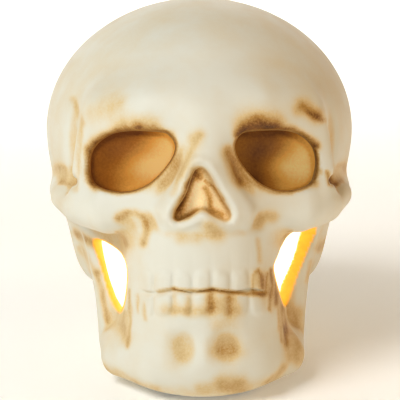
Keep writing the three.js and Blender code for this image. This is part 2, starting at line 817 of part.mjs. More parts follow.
function diffuserDome() {
  const arcSteps = 6;
  const arc = (radius, from, to) => Array.from({ length: arcSteps + 1 }, (unused, i) => {
    const turn = THREE.MathUtils.degToRad(from + ((to - from) * i) / arcSteps);
    return [radius * Math.cos(turn), radius * Math.sin(turn)];
  });
  const outer = arc(cupRadius, 0, 90);
  const inner = arc(cupRadius - domeWall, 90, 0);
  outer[arcSteps][0] = 0;
  inner[0][0] = 0;
  return turned([...inner, ...outer, inner[0]].slice(0, -1), 18).translate(0, postY, cupTop + touch);
}

function ledGeometry(index) {
  const turn = (2 * Math.PI * index) / ledCount + Math.PI / 2;
  const ringRadius = boardDiameter / 4;
  const radius = ledDiameter / 2;
  const rimRadius = radius + ledRim;
  const profile = [
    [0, 0], [rimRadius, 0], [rimRadius, ledRimHeight], [radius, ledRimHeight], [radius, ledHeight - radius],
    [radius * ledShoulder, ledHeight - radius * (1 - ledShoulder)], [0, ledHeight],
  ];
  const x = ringRadius * Math.cos(turn);
  const y = postY + ringRadius * Math.sin(turn);
  return turned(profile, 12).translate(x, y, boardTop + touch);
}

// Leads: one from the plus tab to the board, one from the minus tab to the switch, and one
// from the switch to the board. Those to the board climb the bore of the post.
const leadRadius = leadDiameter / 2;
const leadEnd = boardBottom - fit;
const housingTop = housingBottom + switchHeight;
const tabLeadX = boxHalf + tabReach - leadRadius;
const tabLeadZ = tabZ + sheetThickness / 2 + touch;
const overBox = boxTop + leadBend;
const boreX = leadRadius + leadSpread;

function redPath() {
  const { y } = cellPlaces[terminals[1].cell];
  return [
    [tabLeadX, y, tabLeadZ], [tabLeadX, y, boxTop], [tabLeadX - leadBend, y - leadBend, overBox],
    [postDiameter, postY + leadBend, redHoleZ], [postDiameter / 2, postY, redHoleZ],
    [boreX + leadRadius, postY, redHoleZ + leadRadius], [boreX, postY, redHoleZ + leadBend],
    [boreX, postY, leadEnd - leadBend], [boreX, postY, leadEnd],
  ];
}

function blackPath() {
  const { y } = cellPlaces[terminals[0].cell];
  return [
    [-tabLeadX, y, tabLeadZ], [-tabLeadX, y, boxTop], [leadBend - tabLeadX, y - leadBend, overBox],
    [blackHoleX - leadBend / 2, postY + leadBend, overBox + leadRadius],
    [blackHoleX, postY, postFootTop + leadBend / 2], [blackHoleX, postY, postBottom],
    [blackHoleX, postY, housingTop + touch],
  ];
}

function switchPath() {
  const startX = knobX + switchLength / 2 - pinInset;
  return [
    [startX, postY, housingTop + touch], [startX, postY, housingTop + leadBend], [-boreX, postY, boxTop],
    [-boreX, postY, postFootTop + leadBend], [-boreX, postY, leadEnd - leadBend], [-boreX, postY, leadEnd],
  ];
}

// Assembly
const skull = new THREE.Group();

function finish(colour, roughness, metalness = 0) {
  return new THREE.MeshStandardMaterial({ color: colour, roughness, metalness });
}

function place(name, geometry, material) {
  const mesh = new THREE.Mesh(facingOut(geometry), material);
  mesh.name = name;
  skull.add(mesh);
}

const ivory = () => finish(0xe8dfc8, 0.5);
const blackPlastic = () => finish(0x1f1d1b, 0.55);
const steel = () => finish(0xb9bcc0, 0.3, 1);

place("face_shell", geometryOf(faceShell()), ivory());
place("rear_shell", geometryOf(rearShell()), ivory());
place("left_eye_cup", geometryOf(eyeCup(-1)), finish(0x8a4c1a, 0.55));
place("right_eye_cup", geometryOf(eyeCup(1)), finish(0x8a4c1a, 0.55));
place("base_plate", geometryOf(basePlate()), blackPlastic());
place("battery_door", geometryOf(batteryDoor()), blackPlastic());

bossPlaces.forEach(([x, y], index) => {
  const screw = screwGeometry(true).translate(x, y, plateBottom);
  place(`base_screw_${index + 1}`, screw, steel());
});

const rearFootY = 44;
const frontFootY = -50;
const footPlaces = [[-16, frontFootY], [16, frontFootY], [-24, rearFootY], [24, rearFootY]];
footPlaces.forEach(([x, y], index) => {
  const foot = rod(footDiameter, 0, footHeight - footSeat, x, y, 18);
  place(`rubber_foot_${index + 1}`, foot, finish(0x151515, 0.9));
});

cellPlaces.forEach(({ y, way }, index) => {
  place(`battery_${index + 1}`, cellGeometry(way).translate(0, y, cellZ), finish(0x2c3440, 0.35, 0.2));
  place(`battery_spring_${index + 1}`, springGeometry(way).translate(0, y, cellZ), steel());
});
place("negative_terminal", geometryOf(terminalSolid(terminals[0])), steel());
place("first_link_plate", sheetGeometry(1, 0, 1), steel());
place("second_link_plate", sheetGeometry(-1, 1, 2), steel());
place("positive_terminal", geometryOf(terminalSolid(terminals[1])), steel());

place("switch_housing", geometryOf(switchHousing()), finish(0x3a3c3f, 0.4, 0.6));
place("switch_slider", geometryOf(switchSlider()), finish(0xd9d4c8, 0.5));

place("lamp_post", geometryOf(lampPost()), finish(0xf1eee6, 0.5));
[-1, 1].forEach((side, index) => {
  const screw = screwGeometry(false).translate(side * postScrewX, postY, postFootTop + touch + screwHeadHeight);
  place(`post_screw_${index + 1}`, screw, steel());
});
place("led_board", rod(boardDiameter, boardBottom, boardTop, 0, postY, 24), finish(0xf2f2ee, 0.4));
for (let index = 0; index < ledCount; index += 1) {
  place(`led_${index + 1}`, ledGeometry(index), finish(0xfff0c0, 0.2));
}
const chip = { length: 5, width: 4, height: 1.4 };
place("timer_chip", block(
  -chip.length / 2, chip.length / 2, postY - chip.width / 2, postY + chip.width / 2,
  boardTop + touch, boardTop + touch + chip.height,
), finish(0x161616, 0.5));
place("diffuser_dome", diffuserDome(), finish(0xf6f2e4, 0.45));

place("red_lead", tubeAlong(redPath(), leadRadius, 8, 24), finish(0xa81e1a, 0.45));
place("black_lead", tubeAlong(blackPath(), leadRadius, 8, 18), finish(0x181818, 0.45));
place("switch_lead", tubeAlong(switchPath(), leadRadius, 8, 12), finish(0x181818, 0.45));

// The frame's origin is under the middle of the object's box
const box = new THREE.Box3().setFromObject(skull);
skull.position.y = -(box.min.y + box.max.y) / 2;
console.log(`frame shift in y ${skull.position.y.toFixed(4)} mm`);
console.log(`hinge y ${(hingeY + skull.position.y).toFixed(4)}, z ${hingeZ.toFixed(4)} mm`);

export default skull;
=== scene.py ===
# %% [markdown]
# # A lit skull ornament
# A life-size skull is moulded in two ivory halves, hand-stained brown in its hollows, and lit
# from inside through two cheek openings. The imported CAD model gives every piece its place.
# Here the large moulded forms are made again at a finer grain, and every piece gets a finish.

# %% Load the frame
import json
import math
import bmesh
import bpy
import numpy as np
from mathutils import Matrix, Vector


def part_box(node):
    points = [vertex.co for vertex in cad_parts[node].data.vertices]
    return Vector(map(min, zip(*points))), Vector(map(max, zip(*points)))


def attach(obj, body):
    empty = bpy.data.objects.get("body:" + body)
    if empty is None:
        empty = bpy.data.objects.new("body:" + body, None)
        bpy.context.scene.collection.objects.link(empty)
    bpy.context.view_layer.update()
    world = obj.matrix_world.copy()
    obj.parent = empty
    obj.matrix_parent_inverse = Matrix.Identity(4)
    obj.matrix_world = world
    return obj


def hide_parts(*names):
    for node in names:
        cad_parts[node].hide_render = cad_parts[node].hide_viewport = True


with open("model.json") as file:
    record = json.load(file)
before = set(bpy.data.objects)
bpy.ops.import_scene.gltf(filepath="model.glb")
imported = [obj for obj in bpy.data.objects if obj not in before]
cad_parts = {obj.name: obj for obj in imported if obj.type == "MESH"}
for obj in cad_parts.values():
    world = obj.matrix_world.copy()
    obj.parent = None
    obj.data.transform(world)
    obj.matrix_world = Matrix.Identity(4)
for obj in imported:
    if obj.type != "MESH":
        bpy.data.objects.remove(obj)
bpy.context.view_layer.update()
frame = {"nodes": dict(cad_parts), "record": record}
nodes = frame["nodes"]

# %% [markdown]
# The head was sculpted in millimetres about its own middle, and the frame then moved it along
# y so that the origin lies under the box's middle. One foot, whose place in the sculpt is
# known, gives that move back, so every sculpted point can be turned into the frame's metres.

# %% From the sculpt to the frame
MM = 0.001
FRONT_FOOT_Y = -50.0
foot_low, foot_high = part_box("rubber_foot_1")
SHIFT_Y = (foot_low[1] + foot_high[1]) / 2 / MM - FRONT_FOOT_Y


def to_frame(places):
    """Sculpt places in millimetres, as frame places in metres."""
    return (np.asarray(places, dtype=np.float64) + [0.0, SHIFT_Y, 0.0]) * MM


print("the frame lies", round(SHIFT_Y, 3), "mm along y from the sculpt")

# %% [markdown]
# The camera stands a little to the left of the face and looks slightly down on it, from far
# enough away that the cheeks and the brow keep their true proportions.

# %% Camera
# Lengths are in millimetres, as in the sculpt.
VIEW_TURN = math.radians(-1.7)
VIEW_RISE = math.radians(13.0)
VIEW_DISTANCE = 800.0
PICTURE_SPAN = 220.0
SENSOR = 36.0
VIEW_TARGET = np.array([0.0, 0.0, 87.0])
view_back = np.array([
    math.sin(VIEW_TURN) * math.cos(VIEW_RISE),
    -math.cos(VIEW_TURN) * math.cos(VIEW_RISE),
    math.sin(VIEW_RISE),
])
view_right = np.array([math.cos(VIEW_TURN), math.sin(VIEW_TURN), 0.0])
view_up = np.cross(view_back, view_right)
view_place = VIEW_TARGET + VIEW_DISTANCE * view_back


def placed(name, data):
    """A new object in the scene."""
    piece = bpy.data.objects.new(name, data)
    bpy.context.scene.collection.objects.link(piece)
    return piece


camera_data = bpy.data.cameras.new("camera")
camera_data.sensor_width = SENSOR
camera_data.lens = SENSOR * VIEW_DISTANCE / PICTURE_SPAN
camera = placed("camera", camera_data)
camera.location = to_frame(view_place)
camera.rotation_euler = Vector(-view_back).to_track_quat("-Z", "Y").to_euler()
bpy.context.scene.camera = camera
print("lens", round(camera_data.lens, 1), "mm")


def on_picture(places):
    """Where sculpt places show on the picture, in millimetres right of and above its middle."""
    away = places - view_place
    depth = -(away @ view_back)
    scale = VIEW_DISTANCE / depth
    return (away @ view_right) * scale, (away @ view_up) * scale


# %% [markdown]
# A finish is a small tree of nodes. These helpers add a node, feed it and give back its result,
# so that every finish further on reads as a few short lines. A value that is the same all over
# a piece is set on the shader's own socket.

# %% Helpers for finishes
# The Mix node's sockets for colours: the factor and two colours, and the result.
MIX_INPUTS = (0, 6, 7)
MIX_COLOUR = 2


def new_finish(name):
    material = bpy.data.materials.new(name)
    material.use_nodes = True
    tree = material.node_tree
    return material, tree, tree.nodes["Principled BSDF"]


def add_node(tree, kind, **settings):
    node = tree.nodes.new(kind)
    for key, value in settings.items():
        setattr(node, key, value)
    return node


def feed(tree, socket, value):
    """Gives a socket a plain value, or the result of another node."""
    if isinstance(value, bpy.types.NodeSocket):
        tree.links.new(value, socket)
    else:
        socket.default_value = value


def feed_all(tree, node, values):
    """Feeds a node's sockets by their labels."""
    for label, value in values.items():
        feed(tree, node.inputs[label], value)


def noise_of(tree, scale, detail=4.0, rough=0.55):
    noise = add_node(tree, "ShaderNodeTexNoise")
    place = add_node(tree, "ShaderNodeTexCoord").outputs["Object"]
    feed_all(tree, noise, {"Vector": place, "Scale": scale, "Detail": detail, "Roughness": rough})
    return noise.outputs["Fac"]


def scaled(tree, value, low, high, from_low=0.3, from_high=0.7):
    """A value spread from one range to another."""
    node = add_node(tree, "ShaderNodeMapRange")
    feed_all(tree, node, {
        "Value": value, "From Min": from_low, "From Max": from_high, "To Min": low, "To Max": high,
    })
    return node.outputs["Result"]


def mathed(tree, operation, a, b, clamp=False):
    node = add_node(tree, "ShaderNodeMath", operation=operation, use_clamp=clamp)
    feed(tree, node.inputs[0], a)
    feed(tree, node.inputs[1], b)
    return node.outputs["Value"]


def mixed(tree, factor, first, second):
    """A colour between two others."""
    node = add_node(tree, "ShaderNodeMix", data_type="RGBA")
    for index, value in zip(MIX_INPUTS, (factor, first, second)):
        feed(tree, node.inputs[index], value)
    return node.outputs[MIX_COLOUR]


def toned(tree, value, tones):
    """A colour from a value, through tones given as (place, red, green, blue)."""
    node = add_node(tree, "ShaderNodeValToRGB")
    stops = node.color_ramp.elements
    while len(stops) < len(tones):
        stops.new(0.5)
    for stop, (place, red, green, blue) in zip(stops, tones):
        stop.position = place
        stop.color = (red, green, blue, 1.0)
    feed(tree, node.inputs["Fac"], value)
    return node.outputs["Color"]


def mask_of(tree, name):
    return add_node(tree, "ShaderNodeAttribute", attribute_name=name).outputs["Fac"]


def bumped(tree, shader, height, distance, strength):
    """Tilts the surface by a height that reaches the given distance, in metres."""
    node = add_node(tree, "ShaderNodeBump")
    feed_all(tree, node, {"Height": height, "Distance": distance, "Strength": strength})
    feed(tree, shader.inputs["Normal"], node.outputs["Normal"])


# %% [markdown]
# ## Floor and light
# The floor is a pale sheet that bends up all round, near behind the head and far off on the
# other sides. It is made of rings of points, so that the bend has no corner to show.

# %% Floor
FLOOR_REACH = 6.0
BACK_REACH = 1.6
BEND_RADIUS = 1.2
WALL_HEIGHT = 4.0
BEND_STEPS = 16
FLOOR_SIDES = 96
CORNER_POWER = 6
FLAT_RINGS = (0.05, 0.2, 0.5, 1.0)


def flat_reach(turn):
    """How far the flat part of the floor goes in one direction."""
    depth = BACK_REACH if math.sin(turn) > 0 else FLOOR_REACH
    share = abs(math.cos(turn) / FLOOR_REACH) ** CORNER_POWER
    share += abs(math.sin(turn) / depth) ** CORNER_POWER
    return share ** (-1 / CORNER_POWER)


def sweep_floor():
    profile = [(share, 0.0, 0.0) for share in FLAT_RINGS]
    for step in range(1, BEND_STEPS + 1):
        bend = math.pi / 2 * step / BEND_STEPS
        profile.append((1.0, BEND_RADIUS * math.sin(bend), BEND_RADIUS * (1 - math.cos(bend))))
    profile.append((1.0, BEND_RADIUS, WALL_HEIGHT))
    turns = [2 * math.pi * side / FLOOR_SIDES for side in range(FLOOR_SIDES)]
    vertices = [(0.0, 0.0, 0.0)]
    for share, out, rise in profile:
        for turn in turns:
            reach = share * flat_reach(turn) + out
            vertices.append((reach * math.cos(turn), reach * math.sin(turn), rise))
    nexts = [(side + 1) % FLOOR_SIDES for side in range(FLOOR_SIDES)]
    faces = [(0, 1 + side, 1 + nexts[side]) for side in range(FLOOR_SIDES)]
    for ring in range(len(profile) - 1):
        inner = 1 + ring * FLOOR_SIDES
        outer = inner + FLOOR_SIDES
        for side in range(FLOOR_SIDES):
            faces.append((inner + side, outer + side, outer + nexts[side], inner + nexts[side]))
    mesh = bpy.data.meshes.new("floor")
    mesh.from_pydata(vertices, [], faces)
    mesh.polygons.foreach_set("use_smooth", [True] * len(faces))
    return placed("floor", mesh)


floor = sweep_floor()
print("floor", len(floor.data.polygons), "faces")

# %% [markdown]
# The sheet is matt paper. A faint glow of its own keeps it pale without a brighter light on the head. The
# glow is weakest under the head, a painted soft shadow there, and the sheet turns darker and warmer far
# away, a painted fall-off of the light.

# %% Paper
PAPER_NEAR = (0.93, 0.93, 0.92, 1.0)
# Darker and warmer far away: a painted fall-off of the light.
PAPER_FAR = (0.55, 0.52, 0.47, 1.0)
LIFT_NEAR = (1.0, 0.97, 0.90, 1.0)
LIFT_FAR = (0.38, 0.31, 0.19, 1.0)
FAR_START, FAR_END = 2.0, 5.0
LIFT_START, LIFT_END = 0.06, 0.22
# The weaker glow under the head is a painted soft shadow.
UNDER_HEAD_SHADOW_LIFT, LIFT_HIGH = 0.15, 0.35
PAPER_ROUGH = 0.9


def paper_finish():
    material, tree, shader = new_finish("pale_paper")
    length = add_node(tree, "ShaderNodeVectorMath", operation="LENGTH")
    feed(tree, length.inputs[0], add_node(tree, "ShaderNodeTexCoord").outputs["Object"])
    reach = length.outputs["Value"]
    far = scaled(tree, reach, 0.0, 1.0, FAR_START, FAR_END)
    feed_all(tree, shader, {
        "Base Color": mixed(tree, far, PAPER_NEAR, PAPER_FAR),
        "Roughness": PAPER_ROUGH,
        "Emission Color": mixed(tree, far, LIFT_NEAR, LIFT_FAR),
        "Emission Strength": scaled(tree, reach, UNDER_HEAD_SHADOW_LIFT, LIFT_HIGH, LIFT_START, LIFT_END),
    })
    return material


floor.data.materials.append(paper_finish())
print("paper lifts itself by", UNDER_HEAD_SHADOW_LIFT, "under the head and", LIFT_HIGH, "round it")

# %% [markdown]
# The light is soft: a large panel from the upper left, and a weak warm one from the right. A
# third panel is turned to the sheet behind the head, and the room adds a faint warm tone.

# %% Light
HEAD_MIDDLE = (0.0, 0.0, 0.1)
PANELS = {
    "key_panel": {
        "place": (-1.02, -1.15, 1.58), "target": HEAD_MIDDLE,
        "size": 1.1, "power": 33.5, "colour": (0.985, 1.0, 0.99), "spread": 180,
    },
    "fill_panel": {
        "place": (1.5, -0.45, 0.75), "target": HEAD_MIDDLE,
        "size": 0.7, "power": 5.2, "colour": (1.0, 0.50, 0.05), "spread": 180,
    },
    "backdrop_panel": {
        "place": (0.0, 1.0, 2.2), "target": (0.0, 2.4, 0.7),
        "size": 1.6, "power": 30.0, "colour": (1.0, 1.0, 1.0), "spread": 110,
    },
}
ROOM_COLOUR = (1.0, 0.80, 0.50, 1.0)
ROOM_STRENGTH = 0.06


def add_panel(name, place, target, size, power, colour, spread):
    """A round lamp that shines at its target, and that the camera doesn't see."""
    data = bpy.data.lights.new(name, "AREA")
    data.shape = "DISK"
    data.size = size
    data.energy = power
    data.color = colour
    data.spread = math.radians(spread)
    panel = placed(name, data)
    panel.location = place
    aim = Vector(target) - Vector(place)
    panel.rotation_euler = aim.to_track_quat("-Z", "Y").to_euler()
    panel.visible_camera = False


for name, panel in PANELS.items():
    add_panel(name, **panel)
world = bpy.data.worlds.new("pale_room")
world.use_nodes = True
room = world.node_tree.nodes["Background"]
room.inputs["Color"].default_value = ROOM_COLOUR
room.inputs["Strength"].default_value = ROOM_STRENGTH
bpy.context.scene.world = world
bpy.context.scene.view_settings.view_transform = "Standard"

# %% [markdown]
# ## The sculpt
# A skull has no flat faces and few edges, so it is made as a distance field: rounded eggs and
# tapered limbs that melt into each other. The field gives the distance from any point to the
# skin, negative inside. Joining, hollowing and cutting are then one line each.

# %% Eggs, limbs and how they melt
HEAD_BREADTH = 168.0
HEAD_LENGTH = 174.0
CROWN_HEIGHT = 196.0
CROWN_RISE = 71.0
CHEEK_BREADTH = 160.0
JAW_BREADTH = 111.0
TOOTH_ARCH_BREADTH = 80.0
NECK_BREADTH = 106.0
NECK_LENGTH = 120.0
SHELL_WALL = 5.0
CORE_WALL = 3.0
HOLLOW_FRONT = -72.0
SEAM_Y = 45.0
FOOT_HEIGHT = 2.0
TINY = 1e-9


def egg(x, y, z, centre, radii):
    """Distance to an egg, close to true near its skin."""
    dx, dy, dz = x - centre[0], y - centre[1], z - centre[2]
    rx, ry, rz = radii
    share = np.sqrt((dx / rx) ** 2 + (dy / ry) ** 2 + (dz / rz) ** 2)
    slope = np.sqrt((dx / rx ** 2) ** 2 + (dy / ry ** 2) ** 2 + (dz / rz ** 2) ** 2)
    return share * (share - 1.0) / (slope + TINY)


def bone(x, y, z, start, end):
    """Distance to a tapered rod with round ends, each (x, y, z, radius)."""
    along = [end[i] - start[i] for i in range(3)]
    run = sum(a * a for a in along)
    dx, dy, dz = x - start[0], y - start[1], z - start[2]
    share = np.clip((dx * along[0] + dy * along[1] + dz * along[2]) / run, 0.0, 1.0)
    gap = (dx - along[0] * share) ** 2 + (dy - along[1] * share) ** 2 + (dz - along[2] * share) ** 2
    return np.sqrt(gap) - (start[3] + (end[3] - start[3]) * share)


def limb(x, y, z, path):
    """Distance to a chain of rods."""
    nearest = bone(x, y, z, path[0], path[1])
    for start, end in zip(path[1:], path[2:]):
        nearest = np.minimum(nearest, bone(x, y, z, start, end))
    return nearest


def melted(a, b, reach):
    """Two masses joined, with a fillet where both are within the reach."""
    shared = np.maximum(reach - np.abs(a - b), 0.0) / reach
    return np.minimum(a, b) - shared * shared * reach / 4


def scooped(a, b, reach):
    """The first mass with the second taken out of it, and a soft edge."""
    return -melted(-a, b, reach)


def ramp(low, high, value):
    """Nought below the low value, one above the high one, smooth between."""
    share = np.clip((value - low) / (high - low), 0.0, 1.0)
    return share * share * (3 - 2 * share)


BALL_RADIUS = 10.0
ball_gap = egg(BALL_RADIUS + 3.0, 0.0, 0.0, (0, 0, 0), (BALL_RADIUS,) * 3)
print("a place 3 mm off a ball reads", round(float(ball_gap), 3), "mm")

# %% [markdown]
# The braincase, the neck and the tooth arch are the core. The brow, the cheekbones, the nose,
# the jaw and the bump behind the ear are laid on it, each with its own softness.

# %% Masses of the head
# An egg is its centre, radii and melt. A limb is its points, as (x, y, z, radius), and its melt.
SKULL_CORE = [
    ((0, 14, CROWN_HEIGHT - CROWN_RISE), (HEAD_BREADTH / 2, HEAD_LENGTH / 2, CROWN_RISE), 1),
    ((0, 30, 86), (75, 64, 52), 24),
    ((0, -22, 132), (63, 64, 60), 18),
    ((0, -14, 60), (57, 43, 58), 8),
    ((0, 4, 14), (NECK_BREADTH / 2, NECK_LENGTH / 2, 90), 10),
    ((0, -50, 66), (TOOTH_ARCH_BREADTH / 2, 45, 60), 10),
    ((0, -50, 32), (43, 44.5, 46), 12),
]
ARCH_RADIUS = 8.5
CORNER_RADIUS = 9.5
ARCH_X = CHEEK_BREADTH / 2 - ARCH_RADIUS
CORNER_X = JAW_BREADTH / 2 - CORNER_RADIUS
MASTOID = ((53.5, 18, 62), (17.5, 22, 27), 10)
BROW = ([(0, -74, 145, 10), (26, -72.5, 147.5, 9.5), (50, -60, 145, 7)], 22)
EYE_RIM = ([(50, -60, 145, 7), (58, -56, 132, 6), (61, -54, 116, 6), (58, -54, 102, 8)], 4)
EYE_BED = ((30, -46, 122), (30, 28, 26), 8)
CHEEKBONE = ([
    (22, -73, 101, 8), (48, -60, 97, 13), (62, -46, 96, 11),
    (ARCH_X, -26, 96, ARCH_RADIUS), (ARCH_X + 3.5, -2, 93, 6.5), (ARCH_X + 4.5, 14, 90, 4),
], 9)
UPPER_JAW = ((0, -54, 90), (36, 38, 36), 12)
NOSE_BRIDGE = ([(0, -80, 142, 8), (0, -91, 128, 5.5)], 14)
NOSE_WING = ([(4, -91, 126, 4.5), (17, -86, 101, 5.5), (0, -91, 100, 4.5)], 7)
JAW_LINE = ([
    (0, -77, 20, 11), (22, -74, 19, 12), (41, -52, 16, 12.5), (CORNER_X, -28, 17, CORNER_RADIUS),
    (CORNER_X + 3, -26, 50, 7.5), (CORNER_X + 10, -20, 76, 7), (CORNER_X + 16, -16, 92, 7),
], 10)
JAW_BACK = ([(44, -10, 24, 9), (49, -8, 52, 8), (58, 0, 80, 8)], 14)
FACE_MASSES = [
    MASTOID, BROW, EYE_RIM, EYE_BED, CHEEKBONE, UPPER_JAW, NOSE_BRIDGE, NOSE_WING, JAW_LINE, JAW_BACK,
]
CHIN_DIP = ((12, -104, 32.5), (9.5, 13, 12), 7)
CHEEK_DIP = ((31, -92, 95), (6, 9, 6), 6)
TEMPLE_DIP = ((72, -46, 126), (6, 9, 24), 6)
ARCH_GROOVE = ([(64, -56, 110, 1.5), (72, -40, 107.5, 2.5), (81, -22, 105, 2.5)], 4)


def core_and_head(x, y, z):
    """Distance to the core alone, and to the whole head, before any detail."""
    side = np.abs(x)
    core = None
    for centre, radii, melt in SKULL_CORE:
        mass = egg(side, y, z, centre, radii)
        core = mass if core is None else melted(core, mass, melt)
    head = core
    for mass in FACE_MASSES:
        if len(mass) == 3:
            head = melted(head, egg(side, y, z, mass[0], mass[1]), mass[2])
        else:
            head = melted(head, limb(side, y, z, mass[0]), mass[1])
    for centre, radii, melt in (CHIN_DIP, CHEEK_DIP, TEMPLE_DIP):
        head = scooped(head, egg(side, y, z, centre, radii), melt)
    head = scooped(head, limb(side, y, z, ARCH_GROOVE[0]), ARCH_GROOVE[1])
    return core, head


def hollow_from(core, head, y):
    """Distance to the hollow inside, which leaves the wall standing."""
    return np.maximum(np.maximum(core + CORE_WALL, head + SHELL_WALL), HOLLOW_FRONT - y)


def head_field(x, y, z):
    """Distance to the whole head alone."""
    return core_and_head(x, y, z)[1]


print("masses of the head:", len(SKULL_CORE) + len(FACE_MASSES))

# %% [markdown]
# The teeth are only a soft relief in the casting, so they are a swelling of the skin by a
# millimetre or two: each crown is a low pillow, the roots are fainter ones, and the line where
# the two rows meet is a shallow wavy groove. Both rows are one function with different sizes.

# %% Relief of the teeth
MOUTH_HEIGHT = 63.0
MOUTH_DROP = 5.5
MOUTH_HALF = 34.0
MOUTH_TAPER = 7.0
MOUTH_DEPTH = 1.5
MOUTH_WIDTH = 0.9
MOUTH_FADE = 0.3
MOUTH_FADE_SPAN = (-24.0, -12.0)
WAVE_HEIGHT = 0.6
WAVE_RATE = 0.33
WAVE_START = 0.6
TOOTH_WIDTH = 9.4
TOOTH_DEPTHS = (-62.0, -48.0)
GAP_POWER = 3
CROWN_RELIEF = 1.5
ROOT_RELIEF = 0.2
CROWN_END = (-3.0, 2.0)
ROOT_START = (-3.0, 3.0)
UPPER_ROW = {"middle": -1.8, "crown": 10.5, "notch": 0.2, "bite": 1.8, "root_end": (16.0, 24.0)}
LOWER_ROW = {"middle": -2.0, "crown": 12.0, "notch": 0.25, "bite": 2.4, "root_end": (14.0, 22.0)}


def mouth_line(x):
    """The height of the line where the two rows meet."""
    wave = WAVE_HEIGHT * np.sin(x * WAVE_RATE + WAVE_START)
    return MOUTH_HEIGHT - MOUTH_DROP * (x / MOUTH_HALF) ** 2 + wave


def across_tooth(x, middle):
    """Nought at the middle of a tooth and one in the gap beside it."""
    turn = (x - middle) / TOOTH_WIDTH
    return 2 * np.abs(turn - np.round(turn))


def tooth_row(x, rise, middle, crown, notch, bite, root_end):
    """The relief of one row, by the height from the mouth line towards its roots."""
    gap = across_tooth(x, middle) ** GAP_POWER
    neck = crown * (1 - notch * gap)
    crowns = ramp(0.0, bite, rise) * (1 - ramp(neck + CROWN_END[0], neck + CROWN_END[1], rise))
    roots = ramp(crown + ROOT_START[0], crown + ROOT_START[1], rise) * (1 - ramp(*root_end, rise))
    return (CROWN_RELIEF * crowns + ROOT_RELIEF * roots) * (1 - gap)


def tooth_relief(x, y, z):
    """How far the teeth and the groove between them raise the skin."""
    rise = z - mouth_line(x)
    height = tooth_row(x, rise, **UPPER_ROW) + tooth_row(x, -rise, **LOWER_ROW)
    closed = MOUTH_FADE + (1 - MOUTH_FADE) * ramp(*MOUTH_FADE_SPAN, x)
    height = height - MOUTH_DEPTH * closed * np.exp(-(rise / MOUTH_WIDTH) ** 2)
    fade = (1 - ramp(MOUTH_HALF - MOUTH_TAPER, MOUTH_HALF, np.abs(x))) * (1 - ramp(*TOOTH_DEPTHS, y))
    return height * fade


print("teeth across the mouth:", round(2 * MOUTH_HALF / TOOTH_WIDTH, 1))

# %% [markdown]
# The eye openings, the nose and the cheek openings are outlines drawn on the face and pushed
# back along the line of sight, so their walls run straight away from the viewer. The walls of
# the cheek openings then close in, so that their lit sides show.

# %% Outlines on the face
SIGHT_DROP = math.tan(VIEW_RISE)
EYE_X = 36.0
EYE_HEIGHT = 125.0
NOSE_X = -1.6
NOSE_HEIGHT = 110.0
EYE_PLANE, EYE_END = -72.0, -42.0
NOSE_PLANE, NOSE_FLOOR = -86.0, -84.5
WINDOW_PLANE, WINDOW_END = -55.0, -20.0
EYE_POINTS = [
    (-13.4, 13), (7.4, 13), (19.0, 5.5), (21, -7), (16.8, -14),
    (4.5, -16.8), (-7.9, -13.2), (-18, -3), (-21.4, 5), (-19.2, 10.5),
]
NOSE_HALF = [(0, 13), (3.6, 10), (8, 0), (13.5, -9.5), (12, -13.5), (6, -11.5), (0, -8)]
NOSE_LEAN = 0.1
RIGHT_WINDOW = [
    (61, 83), (54, 83), (45, 78), (37, 68), (36, 62), (40, 49), (43, 43), (46, 45), (50, 58), (57, 74),
]
LEFT_WINDOW = [(-57, 78), (-48, 74.5), (-41.5, 69), (-39.5, 60), (-41, 46), (-44, 40), (-48, 46), (-53, 64)]
OUTLINE_STEPS = 8


def smooth_outline(points):
    """A closed rounded outline through the points."""
    points = np.array(points, dtype=np.float64)
    before, after = np.roll(points, 1, axis=0), np.roll(points, -1, axis=0)
    later = np.roll(points, -2, axis=0)
    places = []
    for share in np.linspace(0, 1, OUTLINE_STEPS, endpoint=False):
        places.append(0.5 * (
            2 * points + (after - before) * share
            + (2 * before - 5 * points + 4 * after - later) * share ** 2
            + (3 * points - before - 3 * after + later) * share ** 3
        ))
    return np.stack(places, axis=1).reshape(-1, 2)


def eye_outline(side):
    """The outline of the left eye (-1) or the right one (1)."""
    return smooth_outline([(side * (EYE_X + a), EYE_HEIGHT + b) for a, b in EYE_POINTS])


nose_points = NOSE_HALF + [(-a, b) for a, b in NOSE_HALF[-2:0:-1]]
NOSE_OUTLINE = smooth_outline([
    (NOSE_X + a - NOSE_LEAN * max(b, 0), NOSE_HEIGHT + b) for a, b in nose_points
])
EYE_OUTLINES = [eye_outline(-1), eye_outline(1)]
WINDOW_OUTLINES = [smooth_outline(LEFT_WINDOW), smooth_outline(RIGHT_WINDOW)]

print("points on the nose's outline:", len(NOSE_OUTLINE))

# %% [markdown]
# The distance to an outline is the distance to its nearest side, with a minus inside. Pushed
# back along the line of sight it becomes a prism, which is worked out only near the opening.

# %% Prisms along the line of sight
ENDLESS = 1e9
FAR = 60.0
CUT_MARGIN = 9.0


def gap_to_side(across, up, start, end):
    """Squared distance from places on the face to the straight line between two points."""
    ex, ez = end[0] - start[0], end[1] - start[1]
    dx, dz = across - start[0], up - start[1]
    share = np.clip((dx * ex + dz * ez) / (ex * ex + ez * ez + TINY), 0, 1)
    return (dx - ex * share) ** 2 + (dz - ez * share) ** 2


def outline_distance(outline, across, up):
    """Distance from places on the face to an outline, negative inside it."""
    nearest = np.full(across.shape, ENDLESS)
    within = np.zeros(across.shape, dtype=bool)
    for start, end in zip(outline, np.roll(outline, -1, axis=0)):
        nearest = np.minimum(nearest, gap_to_side(across, up, start, end))
        ex, ez = end - start
        crosses = (start[1] > up) != (end[1] > up)
        level = np.where(crosses, (across - start[0]) * ez - (up - start[1]) * ex, 1.0)
        within ^= crosses & ((level < 0) == (end[1] > start[1]))
    return np.where(within, -1.0, 1.0) * np.sqrt(nearest)


